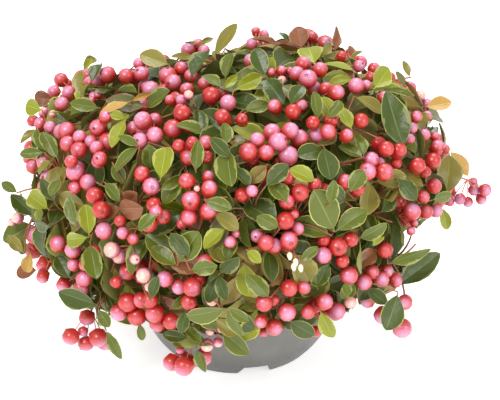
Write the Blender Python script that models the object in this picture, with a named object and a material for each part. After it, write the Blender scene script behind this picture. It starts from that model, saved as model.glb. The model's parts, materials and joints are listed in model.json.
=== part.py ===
"""A wintergreen plant in its bowl: a low, dense, berrying evergreen shrub.

Everything is in metres, +Z up. The bowl stands on Z = 0, and the origin lies under the
middle of the whole plant's box. A short woody stem sits on the soil, one bough runs from
it to each mass of foliage, and the masses share out one rounded crown between them.
"""

import math
import random

import bpy
import bmesh
from mathutils import Matrix, Vector
from mathutils.bvhtree import BVHTree

SEED = 27

# The bowl's axis, which the stem and the crown share
PLANT_X = -0.008
PLANT_Y = 0.0

# Bowl, turned about its axis
RIM_RADIUS = 0.085
BOWL_HEIGHT = 0.092
FOOT_RADIUS = 0.058
FOOT_WIDTH = 0.006
FOOT_RECESS = 0.008
BELLY_POWER = 4.0
WALL = 0.0025
FLOOR = 0.003
LIP_HEIGHT = 0.007
LIP_OVERHANG = 0.0025
WALL_STEPS = 6
WALL_CROWDING = 1.5
BOWL_SIDES = 32
NOTCH_COUNT = 3
NOTCH_FIRST_DEG = -78.0
NOTCH_FOOT_WIDTH = 0.027
NOTCH_TOP_WIDTH = 0.019
NOTCH_HEIGHT = 0.0105
SHARP_EDGE_DEG = 35.0

# Soil that fills the bowl, and the gap that pieces resting on each other keep
SOIL_TOP = 0.080
SOIL_CROWN = 0.003
SOIL_SHOULDER = 0.7
SOIL_MOUND = 1.5
SEAT_GAP = 0.0003

# Short woody stem on the soil: flare, neck and the head that the boughs fork from
FLARE_RADIUS = 0.016
NECK_RADIUS = 0.009
FLARE_HEIGHT = 0.007
FLARE_KNEE_RADIUS = 0.0115
FLARE_KNEE_HEIGHT = 0.0021
HEAD_RADIUS = 0.013
HEAD_RISE = 0.024
HEAD_RINGS_DEG = (-35.0, 0.0, 30.0, 60.0)
STEM_LEAN_X = 0.002
STEM_SIDES = 12

# Boughs
BOUGH_ROOT_RADIUS = 0.0020
BOUGH_TIP_RADIUS = 0.0012
BOUGH_STEPS = 5
BOUGH_END_LENGTH = 0.004
BOUGH_CLEARANCE = 0.0012
BOUGH_LEAST_RISE = 0.12
BOUGH_ARCH = 0.030
RIM_CLEARANCE = 0.006
HEAD_RAYS = 8
HEAD_RAY_SPREAD = 1.1

# Crown: the surface that the leaf tips reach, a rounded bun about CROWN_HEIGHT. Its waves
# are given as a share, how many go round it, and how far the first is turned
CROWN_HEIGHT = 0.122
CROWN_HALF_WIDTH = 0.172
CROWN_HALF_DEPTH = 0.162
CROWN_RISE = 0.128
CROWN_DROP = 0.074
CROWN_POWER = 3.0
CROWN_WAVE = 0.04
BROAD_WAVE = (0.6, 3, 0.8)
SLANTING_WAVE = (0.4, 5, 2.1)
CROWN_TILT = 0.05
CROWN_LIFT = 0.09
CROWN_LIFT_DEG = -75.0

# Tiers of foliage masses, from the top down: name, how many, height of the middle above
# the crown's, distance of the middle from the axis, and how far the first is turned
TIERS = (
    ("peak", 1, 0.078, 0.0, 0.0),
    ("upper", 6, 0.068, 0.086, 20.0),
    ("middle", 9, 0.028, 0.136, 0.0),
    ("skirt", 9, -0.032, 0.129, 20.0),
)
MASS_GAP = 0.0006
TINY = 1e-9

# Dense heart of a mass, and the short stem that carries it
CORE_RADIUS = 0.047
CORE_DEPTH = 0.020
CORE_INSET = 0.002
CORE_STEPS = 24
CORE_ROUNDS = 12
CORE_DRAW_IN = 0.92
FACE_SAMPLE_STEPS = 4
POT_CLEARANCE = 0.004
STEM_REACH = 0.040
MASS_STEM_RADIUS = 0.0012

# Sprigs: a twig from the core to the crown's surface, with a whorl of leaves and berries
SPRIG_COUNT = 158
SPRIG_INSET = 0.012
TWIG_RADIUS = 0.0011
TWIG_TAPER = 1.4
TWIG_ROOT_SHARE = 0.45
TWIG_CHECKS = 6
LEAVES_ON_SPRIG = 2
LEAF_LENGTH = (0.036, 0.046)
LEAF_WIDTH_SHARE = 0.60
LEAF_THICKNESS_SHARE = 0.035
LEAF_OUTLINE = ((0.0, 0.0), (0.32, 0.92), (0.68, 0.86), (1.0, 0.0), (0.68, -0.86), (0.32, -0.92))
LEAF_HOLLOW = 0.9
LEAF_SINK = 0.00022
LEAF_EDGE_SHARE = 0.6
LEAF_LEAN_DEG = (52.0, 84.0)
LEAF_TRIES = 24
LEAF_SHRINK = 0.98
LEAF_OVERHANG = 0.012
LEAF_SPACING = 0.0022
FAR_LEAVES_AT = 0.78
GOLDEN_ANGLE = math.radians(137.508)
BERRY_RADIUS = (0.0062, 0.0078)
BERRY_SHARE = 0.32
BERRIES_IN_BUNCH = 2
BERRY_REACH = 0.013
BERRY_RISE = 0.003
BERRY_SPREAD = 0.78
BUNCH_LEAST_DROOP = 0.35
STALK_SINK = 0.3
STALK_ROOT_RADIUS = 0.00088
STALK_TIP_RADIUS = 0.00077
BERRY_SIDES = 6
BERRY_RINGS = 3

# Bunch at a far tip, in shares of a berry's radius
FAR_BERRY_AHEAD = 0.8
FAR_BERRY_BESIDE = 0.72

# Furthest tips that stand out of the crown's surface, as the photograph shows them:
# the tip's x, y and z, and what ends there
FAR_TIPS = (
    (0.196, 0.010, 0.132, "berries"),
    (-0.196, -0.008, 0.145, "leaf"),
    (-0.194, -0.030, 0.104, "leaf"),
    (-0.009, 0.030, 0.265, "leaf"),
    (0.038, 0.036, 0.260, "leaf"),
    (0.124, 0.046, 0.228, "leaf"),
    (0.158, -0.006, 0.212, "leaf"),
    (0.146, -0.076, 0.116, "leaf"),
    (0.122, -0.106, 0.066, "berries"),
    (-0.131, -0.100, 0.054, "berries"),
    (-0.047, -0.134, 0.052, "berries"),
    (0.010, 0.178, 0.120, "leaf"),
    (0.000, -0.178, 0.110, "leaf"),
)

COLOURS = {
    "bowl": ((0.235, 0.230, 0.222), 0.55),
    "soil": ((0.045, 0.030, 0.020), 0.95),
    "bark": ((0.210, 0.120, 0.070), 0.80),
    "foliage": ((0.120, 0.210, 0.045), 0.45),
}


def clear_scene():
    """Removes whatever the scene starts with."""
    for obj in list(bpy.data.objects):
        bpy.data.objects.remove(obj, do_unlink=True)


def material(name):
    """A plain Principled material in the named colour and roughness."""
    colour, roughness = COLOURS[name]
    mat = bpy.data.materials.get(name) or bpy.data.materials.new(name)
    mat.use_nodes = True
    shader = mat.node_tree.nodes["Principled BSDF"]
    shader.inputs["Base Color"].default_value = (*colour, 1.0)
    shader.inputs["Roughness"].default_value = roughness
    shader.inputs["Metallic"].default_value = 0.0
    return mat


def add_object(name, bm, mat_name):
    """Turns a bmesh into a named object in the scene."""
    mesh = bpy.data.meshes.new(name)
    bm.normal_update()
    bm.to_mesh(mesh)
    bm.free()
    obj = bpy.data.objects.new(name, mesh)
    obj.data.materials.append(material(mat_name))
    bpy.context.scene.collection.objects.link(obj)
    return obj


def applied(obj):
    """Applies the object's modifiers by keeping its evaluated mesh."""
    graph = bpy.context.evaluated_depsgraph_get()
    mesh = bpy.data.meshes.new_from_object(obj.evaluated_get(graph))
    obj.modifiers.clear()
    obj.data = mesh
    return obj


def turned(name, profile, sides, mat_name, lean=(0.0, 0.0)):
    """A closed solid of revolution. The profile runs (radius, height) from axis to axis.

    lean moves each ring sideways by its share of the profile's height.
    """
    bm = bmesh.new()
    low = min(z for _, z in profile)
    high = max(z for _, z in profile)
    rings = []
    for radius, z in profile:
        share = (z - low) / (high - low)
        centre = Vector((PLANT_X + lean[0] * share, PLANT_Y + lean[1] * share, z))
        if radius == 0.0:
            rings.append([bm.verts.new(centre)])
            continue
        ring = []
        for k in range(sides):
            turn = 2 * math.pi * k / sides
            ring.append(bm.verts.new(centre + radius * Vector((math.cos(turn), math.sin(turn), 0))))
        rings.append(ring)
    for lower, upper in zip(rings, rings[1:]):
        for k in range(sides):
            n = (k + 1) % sides
            corners = [lower[k % len(lower)], lower[n % len(lower)],
                       upper[n % len(upper)], upper[k % len(upper)]]
            bm.faces.new(list(dict.fromkeys(corners)))
    bmesh.ops.recalc_face_normals(bm, faces=bm.faces)
    return add_object(name, bm, mat_name)


def bowl_radius(z):
    """Outer radius of the bowl's wall at height z."""
    share = 1 - (1 - z / BOWL_HEIGHT) ** BELLY_POWER
    return FOOT_RADIUS + (RIM_RADIUS - LIP_OVERHANG - FOOT_RADIUS) * share


def wall_heights(low, high, steps):
    """Heights up the wall, closer together near the foot where it curves most."""
    return [low + (high - low) * (k / steps) ** WALL_CROWDING for k in range(steps + 1)]


def notch_cutter(turn):
    """A trapezoid that cuts a drainage notch through the foot ring."""
    inner = FOOT_RADIUS - 3 * FOOT_WIDTH
    outer = FOOT_RADIUS + 2 * FOOT_WIDTH
    bm = bmesh.new()
    ends = []
    for r in (inner, outer):
        ends.append([bm.verts.new((r, y, z)) for y, z in (
            (-NOTCH_FOOT_WIDTH / 2, -NOTCH_HEIGHT / 2),
            (NOTCH_FOOT_WIDTH / 2, -NOTCH_HEIGHT / 2),
            (NOTCH_FOOT_WIDTH / 2, 0.0),
            (NOTCH_TOP_WIDTH / 2, NOTCH_HEIGHT),
            (-NOTCH_TOP_WIDTH / 2, NOTCH_HEIGHT),
            (-NOTCH_FOOT_WIDTH / 2, 0.0),
        )])
    bm.faces.new(ends[0])
    bm.faces.new(ends[1])
    for k in range(len(ends[0])):
        n = (k + 1) % len(ends[0])
        bm.faces.new((ends[0][k], ends[0][n], ends[1][n], ends[1][k]))
    bmesh.ops.recalc_face_normals(bm, faces=bm.faces)
    place = Matrix.Translation((PLANT_X, PLANT_Y, 0.0)) @ Matrix.Rotation(turn, 4, "Z")
    bmesh.ops.transform(bm, matrix=place, verts=bm.verts)
    cutter = add_object("notch_cutter", bm, "bowl")
    cutter.hide_render = True
    cutter.display_type = "WIRE"
    return cutter


def make_bowl():
    """The rounded bowl with its lip, foot ring and drainage notches."""
    outside = [(bowl_radius(z), z) for z in wall_heights(0.0, BOWL_HEIGHT - LIP_HEIGHT, WALL_STEPS)]
    inner_floor = FOOT_RECESS + FLOOR
    inside = [(bowl_radius(z) - WALL, z)
              for z in wall_heights(inner_floor, BOWL_HEIGHT, WALL_STEPS - 2)]
    profile = [(0.0, FOOT_RECESS), (FOOT_RADIUS - FOOT_WIDTH, FOOT_RECESS),
               (FOOT_RADIUS - FOOT_WIDTH, 0.0)]
    profile += outside
    profile += [(RIM_RADIUS, BOWL_HEIGHT - LIP_HEIGHT), (RIM_RADIUS, BOWL_HEIGHT)]
    profile += list(reversed(inside))
    profile += [(0.0, inner_floor)]
    bowl = turned("bowl", profile, BOWL_SIDES, "bowl")
    for k in range(NOTCH_COUNT):
        turn = math.radians(NOTCH_FIRST_DEG + 360.0 * k / NOTCH_COUNT)
        cutter = notch_cutter(turn)
        cut = bowl.modifiers.new("notch", "BOOLEAN")
        cut.operation = "DIFFERENCE"
        cut.object = cutter
        applied(bowl)
        bpy.data.objects.remove(cutter, do_unlink=True)
    bowl.data.set_sharp_from_angle(angle=math.radians(SHARP_EDGE_DEG))
    return bowl


def make_soil():
    """Potting soil that fills the bowl to just under its lip."""
    floor = FOOT_RECESS + FLOOR + SEAT_GAP
    side = [(bowl_radius(z) - WALL - 2 * SEAT_GAP, z)
            for z in wall_heights(floor, SOIL_TOP - SOIL_CROWN, WALL_STEPS - 2)]
    profile = [(0.0, floor)] + side
    profile += [(SOIL_SHOULDER * RIM_RADIUS, SOIL_TOP - SOIL_CROWN / 3),
                (SOIL_MOUND * FLARE_RADIUS, SOIL_TOP), (0.0, SOIL_TOP)]
    return turned("soil", profile, BOWL_SIDES, "soil")


def make_stem():
    """The short woody stem: flat cut on the soil, root flare, neck and rounded head."""
    foot = SOIL_TOP + SEAT_GAP
    profile = [(0.0, foot), (FLARE_RADIUS, foot), (FLARE_KNEE_RADIUS, foot + FLARE_KNEE_HEIGHT),
               (NECK_RADIUS, foot + FLARE_HEIGHT)]
    centre_z = foot + HEAD_RISE - HEAD_RADIUS
    for angle_deg in HEAD_RINGS_DEG:
        angle = math.radians(angle_deg)
        profile.append((HEAD_RADIUS * math.cos(angle), centre_z + HEAD_RADIUS * math.sin(angle)))
    profile.append((0.0, foot + HEAD_RISE))
    return turned("stem", profile, STEM_SIDES, "bark", lean=(STEM_LEAN_X, 0.0))


def head_centre():
    """Middle of the stem's rounded head, from which the boughs fork."""
    z = SOIL_TOP + SEAT_GAP + HEAD_RISE - HEAD_RADIUS
    return Vector((PLANT_X + STEM_LEAN_X / 2, PLANT_Y, z))


CROWN_CENTRE = Vector((PLANT_X, PLANT_Y, CROWN_HEIGHT))


def crown_wave(turn, rise):
    """A slow swelling and sinking of the crown's surface, as a share of its radius.

    The crown is also a little fuller at its upper right than at its upper left, and it is
    lifted in front, where the bowl shows.
    """
    share, count, first = BROAD_WAVE
    waves = share * math.sin(count * turn + first) * math.cos(2 * rise)
    share, count, first = SLANTING_WAVE
    waves += share * math.sin(count * turn + first + 3 * rise)
    tilt = math.cos(turn) * max(0.0, -math.cos(3 * rise)) if rise > 0 else 0.0
    lift = max(0.0, math.cos(turn - math.radians(CROWN_LIFT_DEG))) * max(0.0, -math.sin(2 * rise))
    return CROWN_WAVE * waves + CROWN_TILT * tilt - CROWN_LIFT * lift


def crown_reach(direction):
    """Distance from the crown's centre to its surface along a unit direction."""
    level = CROWN_RISE if direction.z > 0 else CROWN_DROP
    flat = math.hypot(direction.x / CROWN_HALF_WIDTH, direction.y / CROWN_HALF_DEPTH)
    size = (flat ** CROWN_POWER + (abs(direction.z) / level) ** CROWN_POWER) ** (1 / CROWN_POWER)
    turn = math.atan2(direction.y, direction.x)
    rise = math.asin(max(-1.0, min(1.0, direction.z)))
    return (1 + crown_wave(turn, rise)) / size


def depth_in_crown(point):
    """How far inside the crown's surface a point is, along its own radius."""
    offset = point - CROWN_CENTRE
    if offset.length < TINY:
        return CROWN_DROP
    return crown_reach(offset.normalized()) - offset.length


def mass_middles():
    """Name and middle of every foliage mass, tier by tier."""
    middles = []
    for tier, count, rise, radius, first_deg in TIERS:
        for k in range(count):
            turn = math.radians(first_deg) + 2 * math.pi * k / count
            stretch = CROWN_HALF_DEPTH / CROWN_HALF_WIDTH
            middle = CROWN_CENTRE + Vector((radius * math.cos(turn),
                                            stretch * radius * math.sin(turn), rise))
            middles.append((f"foliage_{tier}_{k + 1}", middle))
    return middles


class Space:
    """The part of the crown that one mass keeps to, clear of its neighbours, limbs and bowl.

    It also remembers what already grows in it, so that leaves don't grow through each other.
    """

    def __init__(self, middle, others, limbs, own_limb):
        self.middle = middle
        self.grown = []
        self.walls = []
        for other in others:
            away = (other - middle).normalized()
            self.walls.append(((other + middle) / 2, away))
        self.foot = own_limb[0][-1]
        self.walls.append((self.foot, (self.foot - middle).normalized()))
        self.limbs = limbs

    def holds(self, point, spare=0.0):
        """True if a ball of radius spare round the point is inside the space."""
        for on_wall, away in self.walls:
            if (point - on_wall).dot(away) > -MASS_GAP / 2 - spare:
                return False
        if in_bowl(point, spare):
            return False
        return all(limb_gap(point, limb) > BOUGH_CLEARANCE + spare for limb in self.limbs)

    def holds_all(self, points, spare=0.0):
        return all(self.holds(p, spare) for p in points)

    def is_free(self, bm):
        """True if the shape crosses nothing that has grown so far."""
        tree = BVHTree.FromBMesh(bm)
        return not any(tree.overlap(other) for other in self.grown)

    def claim(self, bm):
        self.grown.append(BVHTree.FromBMesh(bm))


def in_bowl(point, spare):
    """True if a ball of radius spare round the point comes near the bowl, its soil or the floor."""
    if point.z < spare:
        return True
    radius = math.hypot(point.x - PLANT_X, point.y - PLANT_Y)
    if point.z > BOWL_HEIGHT + POT_CLEARANCE + spare:
        return False
    return radius < RIM_RADIUS + POT_CLEARANCE + spare


def limb_gap(point, limb):
    """Distance from a point to the surface of a limb, given as (path, radii)."""
    path, radii = limb
    nearest = math.inf
    for a, b, ra, rb in zip(path, path[1:], radii, radii[1:]):
        along = b - a
        share = max(0.0, min(1.0, (point - a).dot(along) / along.length_squared))
        gap = (point - a - share * along).length - (ra + share * (rb - ra))
        nearest = min(nearest, gap)
    return nearest


def mesh_tree(obj):
    """The object's faces, for casting rays at them."""
    corners = [v.co for v in obj.data.vertices]
    return BVHTree.FromPolygons(corners, [p.vertices for p in obj.data.polygons])


def head_distance(stem_tree, direction):
    """Distance from the head's middle at which a bough's whole end clears the head."""
    centre = head_centre()
    starts = [centre]
    for k in range(HEAD_RAYS):
        side = side_of(direction, 2 * math.pi * k / HEAD_RAYS)
        starts.append(centre + side * (HEAD_RAY_SPREAD * BOUGH_ROOT_RADIUS))
    return max(stem_tree.ray_cast(start, direction)[3] for start in starts)


def bough_path(middle, stem_tree):
    """Smooth path from the stem's head to the foot of a mass's own stem.

    Low boughs rise over the bowl's lip before they turn down to their mass.
    """
    centre = head_centre()
    outwards = (middle - centre).normalized()
    leave = outwards.copy()
    leave.z = max(leave.z, BOUGH_LEAST_RISE)
    leave.normalize()
    start = centre + leave * (head_distance(stem_tree, leave) + SEAT_GAP)
    end = middle - outwards * STEM_REACH
    end.z = max(end.z, min(middle.z + BOUGH_ARCH, BOWL_HEIGHT + RIM_CLEARANCE))
    arrive = (middle - end).normalized()
    bend_end = end - BOUGH_END_LENGTH * arrive
    span = (bend_end - start).length
    path = []
    for k in range(BOUGH_STEPS):
        t = k / (BOUGH_STEPS - 1)
        h = (2 * t**3 - 3 * t**2 + 1, t**3 - 2 * t**2 + t, -2 * t**3 + 3 * t**2, t**3 - t**2)
        path.append(h[0] * start + h[1] * span * leave + h[2] * bend_end + h[3] * span * arrive)
    return path + [end]


def bough_radii():
    """Taper from root to tip."""
    step = (BOUGH_TIP_RADIUS - BOUGH_ROOT_RADIUS) / BOUGH_STEPS
    return [BOUGH_ROOT_RADIUS + step * k for k in range(BOUGH_STEPS + 1)]


def make_bough(name, path, radii):
    """One tapering limb with flat ends, as a bevelled curve."""
    curve = bpy.data.curves.new(name, "CURVE")
    curve.dimensions = "3D"
    curve.bevel_depth = 1.0
    curve.bevel_resolution = 0
    curve.use_fill_caps = True
    line = curve.splines.new("POLY")
    line.points.add(len(path) - 1)
    for point, place, radius in zip(line.points, path, radii):
        point.co = (*place, 1.0)
        point.radius = radius
    curve.materials.append(material("bark"))
    obj = bpy.data.objects.new(name, curve)
    bpy.context.scene.collection.objects.link(obj)
    return obj


def side_of(axis, spin):
    """A unit vector square to the axis, turned by spin round it."""
    first = axis.orthogonal().normalized()
    return Matrix.Rotation(spin, 3, axis) @ first


def twig_shape(start, end, root_radius, tip_radius, sides=3):
    """A straight tapering twig."""
    bm = bmesh.new()
    axis = end - start
    turn = Vector((0, 0, 1)).rotation_difference(axis)
    place = Matrix.Translation((start + end) / 2) @ turn.to_matrix().to_4x4()
    bmesh.ops.create_cone(bm, cap_ends=True, segments=sides, radius1=root_radius,
                          radius2=tip_radius, depth=axis.length, matrix=place)
    return bm


def leaf_shape(root, along, face, length):
    """A thin closed blade of twelve faces: a six-cornered edge and a raised middle.

    The edge's widest corners lie higher than its ends, so that the blade is slightly hollow.
    """
    across = along.cross(face).normalized()
    half = LEAF_WIDTH_SHARE * length / 2
    thick = LEAF_THICKNESS_SHARE * length
    bm = bmesh.new()
    edge = [bm.verts.new(root + along * (length * u) + across * (half * v)
                         + face * (abs(v) * LEAF_HOLLOW * thick)) for u, v in LEAF_OUTLINE]
    heart = root + along * (length / 2)
    upper = bm.verts.new(heart + face * (thick / 2))
    lower = bm.verts.new(heart - face * (thick / 2))
    for k in range(len(edge)):
        n = (k + 1) % len(edge)
        bm.faces.new((edge[k], edge[n], upper))
        bm.faces.new((edge[n], edge[k], lower))
    bmesh.ops.recalc_face_normals(bm, faces=bm.faces)
    return bm


def berry_shape(centre, radius, axis):
    """A round berry."""
    bm = bmesh.new()
    turn = Vector((0, 0, 1)).rotation_difference(axis)
    place = Matrix.Translation(centre) @ turn.to_matrix().to_4x4()
    bmesh.ops.create_uvsphere(bm, u_segments=BERRY_SIDES, v_segments=BERRY_RINGS,
                              radius=radius, matrix=place)
    return bm


def keep(space, shapes):
    """Adds the shapes as objects for the mass's union, and marks their room as taken."""
    made = []
    for bm in shapes:
        space.claim(bm)
        made.append(add_object("growth", bm, "foliage"))
    return made


def discard(shapes):
    for bm in shapes:
        bm.free()


def core_holds(space, point):
    """True if a point may belong to the dense heart of the mass."""
    return space.holds(point, CORE_INSET) and depth_in_crown(point) > CORE_DEPTH


def core_reach(space, direction):
    """How far the dense heart of a mass may reach in a direction."""
    step = CORE_RADIUS / CORE_STEPS
    reach = step
    while reach < CORE_RADIUS and core_holds(space, space.middle + direction * (reach + step)):
        reach += step
    return reach


def face_samples(face):
    """Points spread evenly over a three-cornered face."""
    a, b, c = (v.co for v in face.verts)
    steps = FACE_SAMPLE_STEPS
    return [(a * i + b * j + c * (steps - i - j)) / steps
            for i in range(steps + 1) for j in range(steps + 1 - i)]


def make_core(name, space):
    """The dense heart of a mass: a ball drawn in wherever it would leave the mass's space."""
    bm = bmesh.new()
    bmesh.ops.create_icosphere(bm, subdivisions=2, radius=1.0)
    for vert in bm.verts:
        direction = vert.co.normalized()
        vert.co = space.middle + direction * core_reach(space, direction)
    for _ in range(CORE_ROUNDS):
        tight = set()
        for face in bm.faces:
            if not all(core_holds(space, p) for p in face_samples(face)):
                tight.update(face.verts)
        if not tight:
            break
        for vert in tight:
            vert.co = space.middle + (vert.co - space.middle) * CORE_DRAW_IN
    space.claim(bm)
    return add_object(name, bm, "foliage")


def sprig_ends():
    """Places where sprigs end, spread evenly over the crown by the golden angle."""
    ends = []
    for k in range(SPRIG_COUNT):
        z = 1 - 2 * (k + 0.5) / SPRIG_COUNT
        flat = math.sqrt(1 - z * z)
        turn = k * GOLDEN_ANGLE
        level = CROWN_RISE if z > 0 else CROWN_DROP
        direction = Vector((flat * math.cos(turn) * CROWN_HALF_WIDTH,
                            flat * math.sin(turn) * CROWN_HALF_DEPTH, z * level)).normalized()
        reach = crown_reach(direction) - SPRIG_INSET
        ends.append((CROWN_CENTRE + direction * reach, direction))
    return ends


def add_leaves(space, tip, twig_way, axis, rng):
    """A whorl of leaves round a twig's tip. A leaf that finds no room is skipped."""
    made = []
    spin = rng.uniform(0, 2 * math.pi)
    for attempt in range(LEAF_TRIES):
        if len(made) == LEAVES_ON_SPRIG:
            break
        spin += GOLDEN_ANGLE
        lean = math.radians(rng.uniform(*LEAF_LEAN_DEG))
        length = rng.uniform(*LEAF_LENGTH) * LEAF_SHRINK ** attempt
        out = side_of(axis, spin)
        along = (axis * math.cos(lean) + out * math.sin(lean)).normalized()
        face = (axis * math.sin(lean) - out * math.cos(lean)).normalized()
        root = tip - twig_way * (LEAF_SPACING * (1 + len(made))) - along * LEAF_SINK
        leaf = leaf_shape(root, along, face, length)
        corners = [v.co for v in leaf.verts]
        between = [corners[-1].lerp(c, LEAF_EDGE_SHARE) for c in corners[1:6]]
        inside = all(depth_in_crown(c) > -LEAF_OVERHANG for c in corners)
        if inside and space.holds_all(corners[1:] + between) and space.is_free(leaf):
            made += keep(space, [leaf])
        else:
            discard([leaf])
    return made


def add_bunch(space, tip, twig_way, axis, rng):
    """Berries on a short stalk beside a twig's tip. The berries touch, so they fuse."""
    spin = rng.uniform(0, 2 * math.pi)
    radius = rng.uniform(*BERRY_RADIUS)
    for attempt in range(LEAF_TRIES):
        spin += GOLDEN_ANGLE
        out = side_of(axis, spin)
        if out.z > BUNCH_LEAST_DROOP:
            continue
        heart = tip + out * BERRY_REACH + axis * BERRY_RISE
        middles = [heart + side_of(axis, spin + 2 * math.pi * k / BERRIES_IN_BUNCH)
                   * (BERRY_SPREAD * radius) for k in range(BERRIES_IN_BUNCH)]
        berries = [berry_shape(p, radius, axis) for p in middles]
        if space.holds_all(middles, radius) and all(space.is_free(b) for b in berries):
            foot = tip - twig_way * (3 * LEAF_SPACING)
            stalk = twig_shape(foot, heart + out * (STALK_SINK * radius), STALK_ROOT_RADIUS,
                               STALK_TIP_RADIUS)
            return keep(space, [stalk] + berries)
        discard(berries)
    return []


def grow_twig(space, end):
    """A twig from inside the core to its end, or none where it would leave the space."""
    way = (end - space.middle).normalized()
    root = space.middle + way * (TWIG_ROOT_SHARE * core_reach(space, way))
    checks = [root.lerp(end, k / TWIG_CHECKS) for k in range(TWIG_CHECKS + 1)]
    if not space.holds_all(checks, TWIG_RADIUS):
        return None
    return twig_shape(root, end, TWIG_TAPER * TWIG_RADIUS, TWIG_RADIUS)


def grow_sprig(space, end, axis, rng):
    """One sprig: a twig out of the core, its whorl of leaves and perhaps a bunch of berries."""
    twig = grow_twig(space, end)
    if twig is None:
        return []
    way = (end - space.middle).normalized()
    outwards = way.lerp(axis, 0.5).normalized()
    parts = []
    if rng.random() < BERRY_SHARE:
        parts += add_bunch(space, end, way, outwards, rng)
    parts += add_leaves(space, end, way, outwards, rng)
    return parts + [add_object("growth", twig, "foliage")]


def grow_far_tip(space, x, y, z, kind, rng):
    """A sprig that stands out of the crown and ends in one leaf, or in a bunch of berries."""
    tip = Vector((x, y, z))
    axis = (tip - space.middle).normalized()
    if kind == "leaf":
        length = LEAF_LENGTH[1]
        end = tip - axis * length
        face = (axis.cross(Vector((0, 0, 1))).cross(axis)).normalized()
        shapes = [leaf_shape(end, axis, face, length)]
        end += axis * (2 * TWIG_RADIUS)
    else:
        radius = BERRY_RADIUS[0]
        end = tip - axis * ((1 + FAR_BERRY_AHEAD) * radius)
        shapes = [berry_shape(end + axis * (FAR_BERRY_AHEAD * radius), radius, axis)]
        for k in range(2):
            beside = side_of(axis, math.pi * k) * (FAR_BERRY_BESIDE * radius)
            shapes.append(berry_shape(end + beside, radius, axis))
    parts = keep(space, shapes)
    parts += add_leaves(space, space.middle.lerp(end, FAR_LEAVES_AT), axis, axis, rng)
    return parts + keep(space, [grow_twig(space, end)])


def union(obj, parts, solver):
    """Joins the parts to the object by one Boolean on a collection, and removes them."""
    group = bpy.data.collections.new("parts")
    for part in parts:
        group.objects.link(part)
    join = obj.modifiers.new("join", "BOOLEAN")
    join.operation = "UNION"
    join.operand_type = "COLLECTION"
    join.collection = group
    join.solver = solver
    applied(obj)
    for part in parts:
        bpy.data.objects.remove(part, do_unlink=True)
    bpy.data.collections.remove(group)
    return obj


def make_mass(name, space, ends, tips, rng):
    """One mass of foliage: stem, core, twigs, leaves and berries in one solid."""
    mass = make_core(name, space)
    inwards = (space.middle - space.foot).normalized()
    stem = twig_shape(space.foot + inwards * SEAT_GAP, space.middle, MASS_STEM_RADIUS,
                      MASS_STEM_RADIUS, sides=5)
    parts = [add_object("growth", stem, "foliage")]
    for tip in tips:
        parts += grow_far_tip(space, *tip, rng)
    for end, axis in ends:
        parts += grow_sprig(space, end, axis, rng)
    return union(mass, parts, "EXACT")


def nearest_mass(point, middles):
    """Index of the mass whose middle is nearest to the point."""
    return min(range(len(middles)), key=lambda k: (middles[k][1] - point).length)


def main():
    clear_scene()
    make_bowl()
    make_soil()
    stem_tree = mesh_tree(make_stem())
    middles = mass_middles()
    limbs = [(bough_path(middle, stem_tree), bough_radii()) for _, middle in middles]
    for (name, _), (path, radii) in zip(middles, limbs):
        make_bough(name.replace("foliage", "bough"), path, radii)
    ends = sprig_ends()
    for index, (name, middle) in enumerate(middles):
        others = [m for k, (_, m) in enumerate(middles) if k != index]
        space = Space(middle, others, limbs, limbs[index])
        own_ends = [e for e in ends if nearest_mass(e[0], middles) == index]
        own_tips = [t for t in FAR_TIPS
                    if nearest_mass(Vector(t[:3]), middles) == index]
        rng = random.Random(SEED + index)
        make_mass(name, space, own_ends, own_tips, rng)


main()
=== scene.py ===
"""Looks of the wintergreen plant in its bowl, laid out as an add-on and run as a script.

The packed frame gives the bowl, the soil, the stem, the boughs and one plain solid for each
mass of foliage. Here the bark, the twigs, the leaves, the berries and the few bells grow on
from those limbs by the source's own rule, carried on to finer twigs within the same reach.
"""

import functools
import itertools
import json
import math
import random

import bpy
import bmesh
from mathutils import Euler, Matrix, Vector
from mathutils.bvhtree import BVHTree

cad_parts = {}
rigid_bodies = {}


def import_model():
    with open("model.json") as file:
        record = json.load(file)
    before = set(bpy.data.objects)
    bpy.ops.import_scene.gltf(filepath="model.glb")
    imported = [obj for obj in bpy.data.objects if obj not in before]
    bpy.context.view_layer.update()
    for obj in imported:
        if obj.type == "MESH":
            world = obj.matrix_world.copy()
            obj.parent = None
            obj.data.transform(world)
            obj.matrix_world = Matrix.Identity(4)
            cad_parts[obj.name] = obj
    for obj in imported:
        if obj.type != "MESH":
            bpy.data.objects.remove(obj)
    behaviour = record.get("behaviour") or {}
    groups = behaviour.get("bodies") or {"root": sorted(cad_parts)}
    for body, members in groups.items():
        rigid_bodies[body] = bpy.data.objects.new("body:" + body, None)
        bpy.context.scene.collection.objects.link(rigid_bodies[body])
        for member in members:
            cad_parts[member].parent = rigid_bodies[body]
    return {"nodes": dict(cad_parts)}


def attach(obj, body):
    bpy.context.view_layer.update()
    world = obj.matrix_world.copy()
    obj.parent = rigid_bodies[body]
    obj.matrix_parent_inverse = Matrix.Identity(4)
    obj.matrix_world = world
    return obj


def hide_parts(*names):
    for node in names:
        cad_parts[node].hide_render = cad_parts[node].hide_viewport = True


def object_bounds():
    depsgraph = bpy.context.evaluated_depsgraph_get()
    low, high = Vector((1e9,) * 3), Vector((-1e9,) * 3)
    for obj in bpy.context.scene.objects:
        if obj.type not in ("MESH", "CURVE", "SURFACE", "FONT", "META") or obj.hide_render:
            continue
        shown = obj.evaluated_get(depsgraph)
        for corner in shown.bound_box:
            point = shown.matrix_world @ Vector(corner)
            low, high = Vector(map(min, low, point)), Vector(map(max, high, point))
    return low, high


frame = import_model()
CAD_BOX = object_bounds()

bl_info = {
    "name": "Potted wintergreen",
    "version": (1, 0, 0),
    "blender": (4, 5, 0),
    "location": "3D View > Sidebar > Wintergreen",
    "description": "Makes the bowl, bark, leaves, berries and bells of a wintergreen plant",
    "category": "Object",
}

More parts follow.
